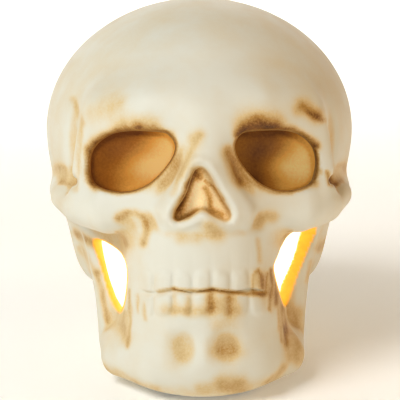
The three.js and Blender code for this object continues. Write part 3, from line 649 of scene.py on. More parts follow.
def sight_prism(outline, plane, end, x, y, z):
    """Distance to an outline pushed along the line of sight, worked out only near it."""
    up = z + (y - plane) * SIGHT_DROP
    low, high = outline.min(axis=0) - CUT_MARGIN, outline.max(axis=0) + CUT_MARGIN
    near = (x > low[0]) & (x < high[0]) & (up > low[1]) & (up < high[1]) & (y < end + CUT_MARGIN)
    distance = np.full(near.shape, FAR)
    across = np.broadcast_to(x, near.shape)[near]
    height = np.broadcast_to(up, near.shape)[near]
    depth = np.broadcast_to(y, near.shape)[near]
    distance[near] = np.maximum(outline_distance(outline, across, height), depth - end)
    return distance


print("a prism is worked out up to", CUT_MARGIN, "mm past its outline")

# %% [markdown]
# The nose is a pocket whose floor rises to a ridge down its middle. The foot of the casting
# is rounded where it meets the base. The head is hollowed last, so every opening keeps its wall.

# %% The face as one field
NOSE_END = 0.0
NOSE_RIDGE = 5.0
RIDGE_WIDTH = 4.0
NOSE_CORNER = 3.0
EYE_EDGE = 3.4
NOSE_EDGE = 3.5
NOSE_LIP = 1.3
LIP_PLACE = 3.2
LIP_WIDTH = 2.4
WINDOW_EDGE = 2.0
INNER_EDGE = 2.0
WINDOW_FLARE = {-1: 0.4, 1: 0.85}
FLARE_START = 86.0
FOOT_EDGE = 7.0
SEAM_GAP = 0.15


def nose_wall(x, y, z):
    """Distance to the outline of the nose, pushed straight back."""
    return sight_prism(NOSE_OUTLINE, NOSE_PLANE, NOSE_END, x, y, z)


def nose_pocket(wall, x, y):
    """The nose down to its ridged floor, from the distance to its wall."""
    floor_y = NOSE_FLOOR - NOSE_RIDGE * np.exp(-((x - NOSE_X) / RIDGE_WIDTH) ** 2)
    return scooped(wall, floor_y - y, NOSE_CORNER)


def window_tunnel(outline, x, y, z):
    """A cheek opening, whose walls close in towards the middle behind the skin."""
    side = np.abs(x)
    flare = np.where(x < 0, WINDOW_FLARE[-1], WINDOW_FLARE[1])
    inward = np.sign(x) * (side + flare * np.maximum(y - side + FLARE_START, 0.0))
    return sight_prism(outline, WINDOW_PLANE, WINDOW_END, inward, y, z)


def face_field(x, y, z):
    core, head = core_and_head(x, y, z)
    skin = head - tooth_relief(x, y, z)
    skin = scooped(skin, z - FOOT_HEIGHT, FOOT_EDGE)
    nose = nose_wall(x, y, z)
    skin = skin - NOSE_LIP * np.exp(-((nose - LIP_PLACE) / LIP_WIDTH) ** 2)
    skin = scooped(skin, nose_pocket(nose, x, y), NOSE_EDGE)
    for outline in EYE_OUTLINES:
        skin = scooped(skin, sight_prism(outline, EYE_PLANE, EYE_END, x, y, z), EYE_EDGE)
    for outline in WINDOW_OUTLINES:
        skin = scooped(skin, window_tunnel(outline, x, y, z), WINDOW_EDGE)
    shell = scooped(skin, hollow_from(core, head, y), INNER_EDGE)
    return np.maximum(shell, y - SEAM_Y + SEAM_GAP)


def rear_field(x, y, z):
    core, head = core_and_head(x, y, z)
    skin = scooped(head, z - FOOT_HEIGHT, FOOT_EDGE)
    shell = np.maximum(skin, -hollow_from(core, head, y))
    return np.maximum(shell, SEAM_Y + SEAM_GAP - y)


print("the halves meet at y", SEAM_Y, "with a gap of", 2 * SEAM_GAP, "mm")

# %% [markdown]
# A field becomes a mesh by surface nets: a grid is laid over the head, every cell that the
# skin passes through gets one point, and neighbouring points are joined into quads. That gives
# even quads on a rounded shape, where marching through the cells would leave slivers.

# %% Surface nets
CORNERS = [(a, b, c) for a in (0, 1) for b in (0, 1) for c in (0, 1)]
EDGES = [
    (a, b) for a in CORNERS for b in CORNERS
    if sum(abs(a[i] - b[i]) for i in range(3)) == 1 and a < b
]
QUAD_TURN = ((0, 0), (1, 0), (1, 1), (0, 1))


def net_points(values, lines, cells):
    """One point a cell: the middle of the places where its edges cross the skin."""
    total = np.zeros((len(cells), 3))
    hits = np.zeros(len(cells))
    for start, end in EDGES:
        first = cells + start
        last = cells + end
        v0 = values[tuple(first.T)]
        v1 = values[tuple(last.T)]
        crosses = (v0 < 0) != (v1 < 0)
        share = np.where(crosses, v0 / np.where(crosses, v0 - v1, 1.0), 0.0)[:, None]
        p0 = np.stack([lines[i][first[:, i]] for i in range(3)], axis=1)
        p1 = np.stack([lines[i][last[:, i]] for i in range(3)], axis=1)
        total += crosses[:, None] * (p0 + share * (p1 - p0))
        hits += crosses
    return total / hits[:, None]


def net_quads(inside, number):
    """A quad round every grid edge that the skin crosses, turned to face outwards."""
    quads = []
    for axis in range(3):
        b, c = (axis + 1) % 3, (axis + 2) % 3
        low = [slice(None)] * 3
        high = [slice(None)] * 3
        low[axis], high[axis] = slice(0, -1), slice(1, None)
        for other in (b, c):
            low[other] = high[other] = slice(1, -1)
        leaving = inside[tuple(low)] & ~inside[tuple(high)]
        entering = ~inside[tuple(low)] & inside[tuple(high)]
        for crossing, turned_round in ((leaving, False), (entering, True)):
            spots = np.argwhere(crossing)
            ring = []
            for db, dc in QUAD_TURN:
                cell = spots.copy()
                cell[:, b] += db
                cell[:, c] += dc
                ring.append(number[tuple(cell.T)])
            ring = np.stack(ring, axis=1)
            quads.append(ring[:, ::-1] if turned_round else ring)
    return np.concatenate(quads)


def net_over(field, lines):
    """The points and quads of a net over a field, on a grid of lines along x, y and z."""
    values = field(lines[0][:, None, None], lines[1][None, :, None], lines[2][None, None, :])
    inside = values < 0
    shape = [len(line) - 1 for line in lines]
    count = np.zeros(shape, dtype=np.int8)
    for a, b, c in CORNERS:
        count += inside[a:shape[0] + a, b:shape[1] + b, c:shape[2] + c]
    crossed = (count > 0) & (count < len(CORNERS))
    cells = np.argwhere(crossed)
    number = np.full(shape, -1, dtype=np.int64)
    number[crossed] = np.arange(len(cells))
    return net_points(values, lines, cells), net_quads(inside, number)


print("a cell has", len(CORNERS), "corners and", len(EDGES), "edges")

# %% [markdown]
# The points of a net lie only near the skin, so they are slid along the slope of the field until
# they lie on it. At the seam they are moved onto its plane too, which keeps that edge straight.

# %% Settling on the skin
SLOPE_REACH = 0.05
SETTLE_TURNS = 4
SETTLE_LIMIT = 0.5
SEAM_CATCH = 0.8


def slope_of(field, places):
    """The slope of a field, from its values just ahead and just behind."""
    slopes = np.empty_like(places)
    for axis in range(3):
        step = np.zeros(3)
        step[axis] = SLOPE_REACH
        ahead, behind = places + step, places - step
        slopes[:, axis] = (field(*ahead.T) - field(*behind.T)) / (2 * SLOPE_REACH)
    return slopes


def settled(field, places):
    """Slides points along the slope of the field until they lie on the skin."""
    for turn in range(SETTLE_TURNS):
        value = field(*places.T)
        slope = slope_of(field, places)
        steep = np.sum(slope * slope, axis=1) + TINY
        move = np.clip(value / np.sqrt(steep), -SETTLE_LIMIT, SETTLE_LIMIT)
        places = places - slope * (move / np.sqrt(steep))[:, None]
    return places


def crisp_seam(places, plane):
    """Moves the points at the seam's edge onto both the skin and the plane of the seam."""
    near_skin = np.abs(head_field(*places.T)) < SEAM_CATCH
    at_edge = (np.abs(places[:, 1] - plane) < SEAM_CATCH) & near_skin
    edge = places[at_edge]
    edge[:, 1] = plane
    for turn in range(SETTLE_TURNS):
        slope = slope_of(head_field, edge)
        slope[:, 1] = 0.0
        edge = edge - slope * (head_field(*edge.T) / (np.sum(slope * slope, axis=1) + TINY))[:, None]
    places[at_edge] = edge
    return places


print("points settle in", SETTLE_TURNS, "turns of at most", SETTLE_LIMIT, "mm")

# %% [markdown]
# The two halves are meshed apart, with a hair's gap at the seam. The grid is fine over the
# features of the face and coarse over the crown and the back, which are plain.

# %% The two halves of the shell
MIDDLE_Y, PAST_SEAM_Y = -20.0, 47.0
BACK_LINES = 29
# The rear grid's two ends and its number of lines, along x, y and z.
REAR_GRID = [(-88, 88, 82), (43, 104, 30), (0, 199, 93)]


def graded(low, high, fine_low, fine_high, fine, coarse):
    """Grid lines that are fine between two places and coarse outside them."""
    before = np.linspace(low, fine_low, max(2, round((fine_low - low) / coarse)), endpoint=False)
    middle = np.linspace(fine_low, fine_high, round((fine_high - fine_low) / fine), endpoint=False)
    after = np.linspace(fine_high, high, max(2, round((high - fine_high) / coarse)))
    return np.concatenate([before, middle, after])


face_lines = [
    graded(low=-86, high=86, fine_low=-58, fine_high=58, fine=1.16, coarse=1.9),
    np.concatenate([
        graded(low=-104, high=MIDDLE_Y, fine_low=-103, fine_high=-52, fine=1.1, coarse=1.5),
        np.linspace(MIDDLE_Y, PAST_SEAM_Y, BACK_LINES)[1:],
    ]),
    graded(low=0, high=199, fine_low=30, fine_high=150, fine=1.16, coarse=2.1),
]
face_places, face_quads = net_over(face_field, face_lines)
face_places = crisp_seam(settled(face_field, face_places), SEAM_Y - SEAM_GAP)
rear_places, rear_quads = net_over(rear_field, [np.linspace(*span) for span in REAR_GRID])
rear_places = crisp_seam(settled(rear_field, rear_places), SEAM_Y + SEAM_GAP)
print("face", len(face_quads) * 2, "triangles, rear", len(rear_quads) * 2, "triangles")

# %% [markdown]
# ## The stain, and some painted shade
# The casting is wiped with brown, which stays in its creases and fades off its bumps. Each
# smear or crease is a stroke on the picture plane: its width, how dark it is, how deep the
# casting is creased there, and the points it runs through, in millimetres from the middle of
# the picture. The strokes are laid on the skin once, as a mask that stays on the mesh. Two strokes along
# the underside of the chin and jaw are painted shade, not stain.

# %% Strokes of stain, crease and painted shade
STROKES = {
    "eyes": [
        (3.4, 0.64, 0.0, [(-60, 27), (-57, 31), (-45, 37), (-33, 39)]),
        (2.5, 0.42, 0.0, [(-33, 39), (-23, 38), (-16, 35)]),
        (2.2, 0.50, 0.0, [(-61, 27), (-61, 12), (-58, 7)]),
        (1.0, 0.20, 0.0, [(-57, 7), (-45, 3), (-33, 5), (-23, 12), (-15, 22), (-13, 30)]),
        (5.0, 0.14, 0.0, [(-44, 42), (-26, 43)]),
        (2.6, 0.70, 0.0, [(21, 36), (25, 39), (35, 40), (45, 39), (55, 36), (63, 30)]),
        (4.8, 0.46, 0.0, [(24, 40), (32, 42), (42, 41)]),
        (7.5, 0.22, 0.0, [(29, 44), (37, 43)]),
        (1.0, 0.24, 0.0, [(20, 30), (22, 19), (27, 11), (38, 4), (50, 4), (59, 7)]),
        (2.5, 0.28, 0.0, [(61, 9), (63, 9)]),
    ],
    "nose": [
        (3.2, 0.38, 0.0, [(15, 27), (21, 10)]),
        (1.6, 0.10, 0.1, [(0, 36), (-6, 25), (-12, 12), (-15, 3)]),
        (4.5, 0.10, 0.0, [(-2, 34), (-10, 14)]),
        (3.4, 0.16, 0.0, [(-3, 34), (0, 36)]),
        (4.6, 0.26, 0.0, [(5, -16), (9, -19)]),
        (3.4, 0.14, 0.0, [(-11, -21), (-2, -21)]),
        (2.0, 0.72, 0.0, [(-3, 13), (-6, 7), (-9, 0), (-12, -6)]),
        (2.4, 0.60, 0.0, [(-2, 15), (0, 13)]),
        (4.0, 0.14, 0.0, [(-7, 3), (-9, -4)]),
        (0.8, 0.44, 0.0, [(3, 11), (9, 5), (13, 0)]),
        (2.4, 0.10, 0.0, [(0, 7), (1, -4)]),
        (1.7, 0.40, 0.0, [(3, 7), (5, 0), (6, -5), (13, -8)]),
        (1.5, 0.36, 0.0, [(-13, -9), (-7, -9), (-2, -6)]),
    ],
    "cheeks": [
        (2.2, 0.34, 0.3, [(-45, -10), (-40, -7), (-36, -7), (-31, -9), (-29, -16), (-31, -24)]),
        (4.5, 0.18, 0.4, [(-41, -12), (-38, -14)]),
        (3.6, 0.20, 0.3, [(37, -9), (40, -9)]),
        (2.2, 0.38, 0.2, [(-69, -18), (-57, -25)]),
        (1.8, 0.34, 0.2, [(74, -17), (65, -27)]),
    ],
    "temples": [
        (6.5, 0.15, 0.0, [(-46, 53), (-57, 48)]),
        (1.6, 0.18, 0.8, [(-70, 56), (-65, 42), (-67, 27), (-67, 15), (-69, 6)]),
        (4.4, 0.44, 0.0, [(56, 51), (64, 46)]),
        (1.7, 0.50, 0.3, [(60, 48), (68, 44)]),
        (1.3, 0.55, 0.5, [(70, 15), (72, 9), (75, 9)]),
    ],
    "teeth": [
        (0.9, 0.20, 0.0, [(-23, -50), (-15, -49)]),
        (1.0, 0.46, 0.0, [(-15, -49), (-5, -50), (0, -50), (7, -49), (18, -51), (27, -52)]),
        (1.4, 0.46, 0.2, [(29, -52), (35, -52)]),
        (0.9, 0.30, 0.2, [(29, -50), (29, -42), (32, -38), (34, -42), (34, -50)]),
        (0.9, 0.26, 0.2, [(37, -40), (36, -52)]),
        (1.0, 0.44, 0.3, [(39, -38), (40, -48), (38, -60)]),
        (0.9, 0.32, 0.2, [(42, -42), (42, -58)]),
        (5.5, 0.28, 0.0, [(33, -44), (41, -55)]),
        (1.6, 0.18, 0.1, [(32, -22), (33, -34)]),
        (2.0, 0.14, 0.0, [(-14, -53), (-14, -61)]),
        (2.2, 0.18, 0.0, [(-6, -54), (-7, -62)]),
        (5.0, 0.16, 0.0, [(8, -56), (17, -57)]),
        (2.6, 0.36, 0.0, [(6, -52), (6, -60)]),
        (2.6, 0.34, 0.0, [(17, -54), (16, -61)]),
        (3.2, 0.18, 0.0, [(-19, -60), (-5, -61), (21, -61)]),
    ],
    "jaw": [
        (1.8, 0.32, 0.3, [(-57, -40), (-54, -50), (-51, -66)]),
        (1.8, 0.16, 0.1, [(-66, -26), (-57, -40)]),
        (2.4, 0.20, 0.2, [(-42, -62), (-41, -78)]),
        (0.9, 0.22, 0.2, [(-39, -50), (-38, -66), (-40, -81)]),
        (0.9, 0.14, 0.2, [(-35, -52), (-34, -62)]),
        (0.9, 0.14, 0.2, [(-31, -57), (-30, -66)]),
        (0.9, 0.48, 0.4, [(46, -58), (47, -70), (48, -80)]),
        (2.6, 0.24, 0.2, [(46, -58), (48, -80)]),
        (0.9, 0.20, 0.2, [(43, -60), (45, -78)]),
        (5.0, 0.22, 0.0, [(53, -62), (54, -82)]),
        (4.0, 0.22, 0.0, [(50, -86), (53, -88)]),
        (1.5, 0.18, 0.2, [(61, -34), (59, -45)]),
    ],
    "chin": [
        (6.5, 0.12, 0.0, [(-13, -79), (-11, -86)]),
        (6.5, 0.32, 0.0, [(11, -82), (17, -82)]),
        (4.5, 0.13, 0.0, [(10, -68), (17, -68)]),
        (4.8, 0.32, 0.0, [(12, -101), (22, -102)]),
        (3.0, 0.14, 0.0, [(0, -103), (4, -103)]),
        # These two strokes are painted shade along the underside of the chin and jaw.
        (3.4, 0.12, 0.0, [(-24, -105), (0, -106), (20, -105), (36, -101)]),
        (2.4, 0.20, 0.0, [(-53, -92), (-38, -100), (-24, -105)]),
        (2.6, 0.28, 0.0, [(46, -92), (38, -101)]),
    ],
}

print("strokes", {part: len(strokes) for part, strokes in STROKES.items()})

# %% [markdown]
# A smear wiped by hand is never even, so slow random waves shift the strokes a little and wear
# them thin in places. The waves come from fixed seeds, and only what faces the viewer is stained.

# %% Strokes on the skin
WOBBLE_WAVES = 10
WAVE_RATES = (0.6, 1.6)
SMEAR_SHIFT = 0.22
SMEAR_LENGTH = 11.0
WORN_LENGTH = 8.0
WORN_MIDDLE, WORN_SPREAD = 0.95, 0.12
WORN_LIMITS = (0.3, 1.3)
FACING = (0.05, 0.35)


def stroke_distance(path, across, up):
    """Distance on the picture to a stroke's path."""
    nearest = np.full(across.shape, ENDLESS)
    for start, end in zip(path, path[1:]):
        nearest = np.minimum(nearest, gap_to_side(across, up, start, end))
    return np.sqrt(nearest)


def wobble(places, length, seed):
    """A smooth random value about zero, with waves of about the given length."""
    draw = np.random.default_rng(seed)
    total = np.zeros(len(places))
    for wave in range(WOBBLE_WAVES):
        way = draw.normal(size=3)
        way *= draw.uniform(*WAVE_RATES) * 2 * math.pi / length / np.linalg.norm(way)
        total += np.sin(places @ way + draw.uniform(0, 2 * math.pi))
    return total / math.sqrt(WOBBLE_WAVES / 2)


def stroke_layers(places, normals):
    """How dark the strokes stain each place, and how deep they crease it."""
    across, up = on_picture(places)
    across = across + SMEAR_SHIFT * wobble(places, SMEAR_LENGTH, seed=1)
    up = up + SMEAR_SHIFT * wobble(places, SMEAR_LENGTH, seed=2)
    worn = WORN_MIDDLE + WORN_SPREAD * wobble(places, WORN_LENGTH, seed=3)
    worn = np.clip(worn, *WORN_LIMITS)
    facing = ramp(*FACING, normals @ view_back)
    clean = np.ones(len(places))
    depth = np.zeros(len(places))
    for width, strength, crease, path in sum(STROKES.values(), []):
        mark = np.exp(-(stroke_distance(path, across, up) / width) ** 2) * facing
        clean *= 1 - np.clip(strength * worn, 0, 1) * mark
        depth = np.maximum(depth, crease * mark)
    return 1 - clean, depth


# %% [markdown]
# Besides the strokes, a thin wash stays in every crease. A fainter darkening in every broad hollow is
# partly that wash and partly painted shade, which deepens the forms. A faint tint wherever the casting
# doesn't face the front is partly wash and partly painted shade: the crown, the sides and the back are
# darker, away from the front, as the light falls off. How hollow a place is follows from how the field
# bends about it: a dip bends it one way and a bump the other.

# %% Wash, tint and painted shade
CREASE_REACH, HOLLOW_REACH = 3.0, 8.0
CREASE_WASH, HOLLOW_WASH_AND_SHADE = 0.22, 0.13
CREASE_BENDS, HOLLOW_BENDS = (0.015, 0.16), (-0.02, 0.06)
CREASE_HEIGHTS = (40.0, 60.0)
TINT_AND_SHADE = 0.055
TONE_FACING = (0.2, 0.8)


def layered(*coats):
    """Coats of stain laid one over the other."""
    bare = 1.0
    for coat in coats:
        bare = bare * (1 - coat)
    return 1 - bare


def normals_of(field, places):
    slope = slope_of(field, places)
    return slope / (np.linalg.norm(slope, axis=1)[:, None] + TINY)


def hollow_bend(places, reach):
    """How hollow the head is about a place, from the field at six places within the reach."""
    bend = -6 * head_field(*places.T)
    for axis in range(3):
        step = np.zeros(3)
        step[axis] = reach
        bend += head_field(*(places + step).T) + head_field(*(places - step).T)
    return -bend / reach ** 2


def wash_and_shade_of(places):
    """The thin wash that stays in the creases, and a fainter darkening in every broad hollow, which is
    partly that wash and partly painted shade.
    """
    crease = CREASE_WASH * ramp(*CREASE_BENDS, hollow_bend(places, CREASE_REACH))
    hollow = HOLLOW_WASH_AND_SHADE * ramp(*HOLLOW_BENDS, hollow_bend(places, HOLLOW_REACH))
    return layered(crease * ramp(*CREASE_HEIGHTS, places[:, 2]), hollow)


def tint_and_shade_of(normals):
    """A tint on the crown, the sides and the back, away from the front: partly wash, partly painted shade
    where the light falls off.
    """
    return TINT_AND_SHADE * (1 - ramp(*TONE_FACING, -normals[:, 1]))


print("the tint is at most", TINT_AND_SHADE, "and the wash in a crease", CREASE_WASH)

# %% [markdown]
# A mesh carries its masks as attributes, one value for each point, and the finish reads them by
# name. So the stain and the painted shade stay where they were laid, whatever side the head is seen from.

# %% Meshes and their masks


def mesh_piece(name, places, faces):
    """A smooth-shaded object from sculpt places and faces."""
    mesh = bpy.data.meshes.new(name)
    mesh.vertices.add(len(places))
    mesh.vertices.foreach_set("co", to_frame(places).astype(np.float32).ravel())
    faces = np.asarray(faces)
    mesh.loops.add(faces.size)
    mesh.loops.foreach_set("vertex_index", faces.astype(np.int32).ravel())
    mesh.polygons.add(len(faces))
    mesh.polygons.foreach_set("loop_start", np.arange(0, faces.size, faces.shape[1], dtype=np.int32))
    mesh.polygons.foreach_set("loop_total", np.full(len(faces), faces.shape[1], dtype=np.int32))
    mesh.polygons.foreach_set("use_smooth", np.ones(len(faces), dtype=bool))
    mesh.update(calc_edges=True)
    mesh.validate()
    return placed(name, mesh)


def set_mask(piece, name, values):
    layer = piece.data.attributes.new(name, "FLOAT", "POINT")
    layer.data.foreach_set("value", np.clip(values, 0.0, 1.0).astype(np.float32))


# %% [markdown]
# The face has five masks: its stain and painted shade, the lit inner side, the lit walls of the cheek
# openings, how deep those walls lie, and the floor of the nose, which is painted with light that lifts the
# shade in its pocket. The nose is tinted inside and darker along the inside of its rim, and the walls of
# the eyes hold more stain than the skin.

# %% Masks of the face
INNER_SIDE = (0.3, 0.9)
GLOW_FOOT, GLOW_TOP = (5.0, 9.0), (86.0, 100.0)
EYE_WALL, WINDOW_WALL = (0.2, 2.2), (0.3, 1.2)
EYE_STAIN = 0.6
CLEAN_NOSE = (1.0, 9.0)
NOSE_INSIDE = (-0.6, 1.0)
# Inside the nose: a tint, and a darker band along the inside of its rim.
NOSE_STAIN, NOSE_RIM_DARK = 0.16, 0.12
NOSE_RIM_PLACE, NOSE_RIM_WIDTH = 0.6, 0.9
LIT_REACH = 16.0
NOSE_LIGHT_REACH = 3.0
CLEARLY_STAINED = 0.3


def inner_side(places):
    """One on the inner side of a shell and nought on its skin."""
    core, head = core_and_head(*places.T)
    return 1 - ramp(*INNER_SIDE, np.abs(hollow_from(core, head, places[:, 1])))


face_normals = normals_of(face_field, face_places)
face_depth = -head_field(*face_places.T)
face_inside = inner_side(face_places)
outer = 1 - face_inside
# The lamp's light is painted on the inner side only between these heights.
glow_room = ramp(*GLOW_FOOT, face_places[:, 2]) * (1 - ramp(*GLOW_TOP, face_places[:, 2]))
face_strokes, face_crease = stroke_layers(face_places, face_normals)
face_places = face_places - face_normals * (face_crease * outer)[:, None]

eye_gap = np.minimum(*[
    sight_prism(o, EYE_PLANE, EYE_END, *face_places.T) for o in EYE_OUTLINES
])
nose_gap = nose_wall(*face_places.T)
window_gap = np.minimum(*[window_tunnel(o, *face_places.T) for o in WINDOW_OUTLINES])
eye_wall = (1 - ramp(*EYE_WALL, eye_gap)) * outer
nose_in = (1 - ramp(*NOSE_INSIDE, nose_gap)) * outer
window_wall = (1 - ramp(*WINDOW_WALL, window_gap)) * outer
nose_rim = np.exp(-(np.maximum(-nose_gap - NOSE_RIM_PLACE, 0.0) / NOSE_RIM_WIDTH) ** 2)
nose_stain = (NOSE_STAIN + NOSE_RIM_DARK * nose_rim) * nose_in
face_wash_and_shade = wash_and_shade_of(face_places) * outer * ramp(*CLEAN_NOSE, nose_gap)
# This mask holds the stain and, in the hollow darkening, the tint and two chin strokes, painted shade.
face_stain_and_shade = layered(face_strokes * outer, face_wash_and_shade, tint_and_shade_of(face_normals) * outer)
face_stain_and_shade = layered(np.maximum(face_stain_and_shade, EYE_STAIN * eye_wall), nose_stain)

face = mesh_piece("skull_face", face_places, face_quads)
set_mask(face, "stain_and_shade", face_stain_and_shade)
set_mask(face, "inside", face_inside * glow_room)
# The floor of the nose is painted with light, in its own tone, to lift the shade in its pocket.
set_mask(face, "nose_light", nose_in * ramp(0.0, NOSE_LIGHT_REACH, -nose_gap))
set_mask(face, "lit_wall", window_wall)
set_mask(face, "lit_depth", ramp(0.0, LIT_REACH, face_depth))
stained = float((face_stain_and_shade > CLEARLY_STAINED).mean())
print("stained share of the face", round(stained, 3))

# %% [markdown]
# The back has no strokes, because they are drawn on the front. It has the wash, the tint and the painted
# shade that goes with them, and the lit inner side, and the masks that it shares with the face in name only
# are empty.

# %% Masks of the back
rear_inside = inner_side(rear_places)
rear_tint_and_shade = tint_and_shade_of(normals_of(rear_field, rear_places))
rear = mesh_piece("skull_rear", rear_places, rear_quads)
set_mask(rear, "stain_and_shade", layered(wash_and_shade_of(rear_places), rear_tint_and_shade) * (1 - rear_inside))
set_mask(rear, "inside", rear_inside * ramp(*GLOW_FOOT, rear_places[:, 2]))
for mask in ("lit_wall", "lit_depth", "nose_light"):
    set_mask(rear, mask, np.zeros(len(rear_places)))
print("skull_rear", len(rear_places), "points")

# %% [markdown]
# ## Finishes
# Noise in Object coordinates breaks up every colour, so that nothing is one flat tone, and the
# same noise moves the roughness and a fine bump. The shell is ivory resin with a satin surface.
# Where the mask says stain or painted shade, the tone goes from ivory through tan to dark brown. Its inner
# side and the walls of the cheek openings are painted with the lamp's light: they glow, orange at the skin
# and paler deeper in, and the walls' own colour is turned orange as if lit. The floor of the nose glows
# faintly in its own tone, painted light that lifts the shade in its pocket.

# %% Ivory shell
IVORY_TONES = [
    (0.0, 0.765, 0.757, 0.668), (0.18, 0.73, 0.565, 0.305), (0.42, 0.51, 0.285, 0.080),
    (0.70, 0.23, 0.090, 0.016), (1.0, 0.070, 0.024, 0.005),
]
GLOW_TONES = [
    (0.0, 0.85, 0.42, 0.03), (0.35, 1.0, 0.64, 0.05), (0.7, 1.0, 0.79, 0.13), (1.0, 1.0, 0.95, 0.72),
]
# The lit walls of the cheek openings get an orange base colour as well as their glow, both painted lamp
# light.
LIT_WALL_TONE = (0.75, 0.34, 0.04, 1.0)
INNER_TONE = (1.0, 0.93, 0.74, 1.0)
INNER_GLOW, WALL_GLOW, NOSE_LIGHT_GLOW = 1.1, 0.75, 0.55
NOSE_LIGHT_EDGE = 8.0
PATCH_SCALE, MOTTLE_SCALE, SPECKLE_SCALE = 55.0, 240.0, 900.0
PATCH_STAIN, SPECKLE_STAIN = (0.84, 1.16), (0.78, 1.22)
PATCH_TONE, MOTTLE_DEPTH = (-0.02, 0.02), (-0.12, 0.12)
IVORY_ROUGH = (0.40, 0.52)
IVORY_GLOSS = 0.25


def ivory_finish():
    material, tree, shader = new_finish("ivory_resin")
    patches = noise_of(tree, PATCH_SCALE, detail=3.0)
    mottle = noise_of(tree, MOTTLE_SCALE, detail=3.0)
    speckle = noise_of(tree, SPECKLE_SCALE, detail=3.0, rough=0.7)
    inside, wall, nose_light = [mask_of(tree, name) for name in ("inside", "lit_wall", "nose_light")]
    stain_and_shade = mathed(tree, "MULTIPLY", mask_of(tree, "stain_and_shade"), scaled(tree, patches, *PATCH_STAIN))
    stain_and_shade = mathed(tree, "MULTIPLY", stain_and_shade, scaled(tree, speckle, *SPECKLE_STAIN))
    stain_and_shade = mathed(tree, "ADD", stain_and_shade, scaled(tree, patches, *PATCH_TONE), clamp=True)
    tone = toned(tree, stain_and_shade, IVORY_TONES)
    depth = scaled(tree, mottle, *MOTTLE_DEPTH)
    depth = mathed(tree, "ADD", mask_of(tree, "lit_depth"), depth, clamp=True)
    glow = mixed(tree, inside, toned(tree, depth, GLOW_TONES), INNER_TONE)
    glow = mixed(tree, mathed(tree, "MULTIPLY", nose_light, NOSE_LIGHT_EDGE, clamp=True), glow, tone)
    strength = mathed(tree, "MULTIPLY", inside, INNER_GLOW)
    for mask, share in ((wall, WALL_GLOW), (nose_light, NOSE_LIGHT_GLOW)):
        strength = mathed(tree, "ADD", strength, mathed(tree, "MULTIPLY", mask, share))
    feed_all(tree, shader, {
        "Base Color": mixed(tree, wall, tone, LIT_WALL_TONE),
        "Specular IOR Level": IVORY_GLOSS,
        "Roughness": scaled(tree, patches, *IVORY_ROUGH),
        "Emission Color": glow,
        "Emission Strength": strength,
    })
    bumped(tree, shader, speckle, distance=0.0002, strength=0.12)
    return material


ivory = ivory_finish()
for piece, node in ((face, "face_shell"), (rear, "rear_shell")):
    piece.data.materials.append(ivory)
    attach(piece, "head")
    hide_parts(node)
print("ivory on", face.name, "and", rear.name)

# %% [markdown]
# The eye bowls are smooth brown cups behind the openings. Each is the wall between two eggs,
# cut off where the shell's inner side begins.

# %% Eye bowls
BOWL_CENTRE = (39.0, -60.0, 121.0)
BOWL_RADII = (33.0, 28.0, 29.0)
BOWL_WALL = 2.0
BOWL_FIT = 0.3
BOWL_GRID = 1.4
BOWL_SPANS = ((1.0, 77.0), (-94.0, -26.0), (86.0, 157.0))


def bowl_field(side):
    centre = (side * BOWL_CENTRE[0], BOWL_CENTRE[1], BOWL_CENTRE[2])
    outer_radii = [r + BOWL_WALL for r in BOWL_RADII]

    def field(x, y, z):
        wall = np.maximum(egg(x, y, z, centre, outer_radii), -egg(x, y, z, centre, BOWL_RADII))
        core, head = core_and_head(x, y, z)
        return np.maximum(wall, hollow_from(core, head, y) + BOWL_FIT)

    return field


def bowl_net(side):
    """The points and quads of one bowl."""
    field = bowl_field(side)
    across, depth, height = BOWL_SPANS
    spans = (sorted(side * reach for reach in across), depth, height)
    places, quads = net_over(field, [np.arange(*span, BOWL_GRID) for span in spans])
    return settled(field, places), quads


bowl_nets = {side: bowl_net(side) for side in (-1, 1)}
print("bowls have", [len(quads) * 2 for places, quads in bowl_nets.values()], "triangles")

# %% [markdown]
# Each bowl is brown, partly an uneven spray and partly painted light and shade: dark on the side away from
# the light and fading to gold towards it, with a painted highlight, darker towards the bottom, and with a
# painted shadow under the opening's edge. That is one mask, from nought for gold to one for dark, and the
# finish turns it into tones with a cloud and a grain of noise. The bowls also glow in their own brown,
# partly the lamp's light through the resin and partly painted light that brightens them.

# %% Brown of the bowls, with painted light and shade
BOWL_TONES = [
    (0.0, 1.0, 0.75, 0.30), (0.32, 0.78, 0.42, 0.085), (0.68, 0.37, 0.145, 0.02), (1.0, 0.12, 0.038, 0.008),
]
# The bowls glow in their own brown: partly the lamp's light through the resin, partly painted light.
BOWL_GLOW = 0.42
BOWL_GLOSS = 0.3
BOWL_ROUGH = (0.36, 0.46)
CLOUD_SCALE, GRAIN_SCALE = 45.0, 800.0
CLOUD_SHADE, GRAIN_SHADE = (-0.06, 0.06), (-0.05, 0.05)
# Darkest on the side away from the light and lighter towards it: spray and painted shade.
BOWL_SHADE = {-1: 0.80, 1: 0.92}
BOWL_FADE = {-1: 0.62, 1: 0.82}
FADE_SPAN = {-1: (-16.0, 14.0), 1: (-9.0, 20.0)}
FADE_DROP = {-1: 0.75, 1: 0.40}
# A painted highlight.
HIGHLIGHT_SPOT, HIGHLIGHT_SIZE, HIGHLIGHT_LIFT = (7.0, -3.0), (9.0, 6.0), 0.2
INNER_SPAN, INNER_SHADE = (6.0, 20.0), 0.15
LOW_SPAN, LOW_SHADE = (4.0, 15.0), 0.2
# A painted shadow under the opening's edge.
BOWL_RIM_SHADOW_REACH, BOWL_RIM_SHADOW = 0.8, 0.3


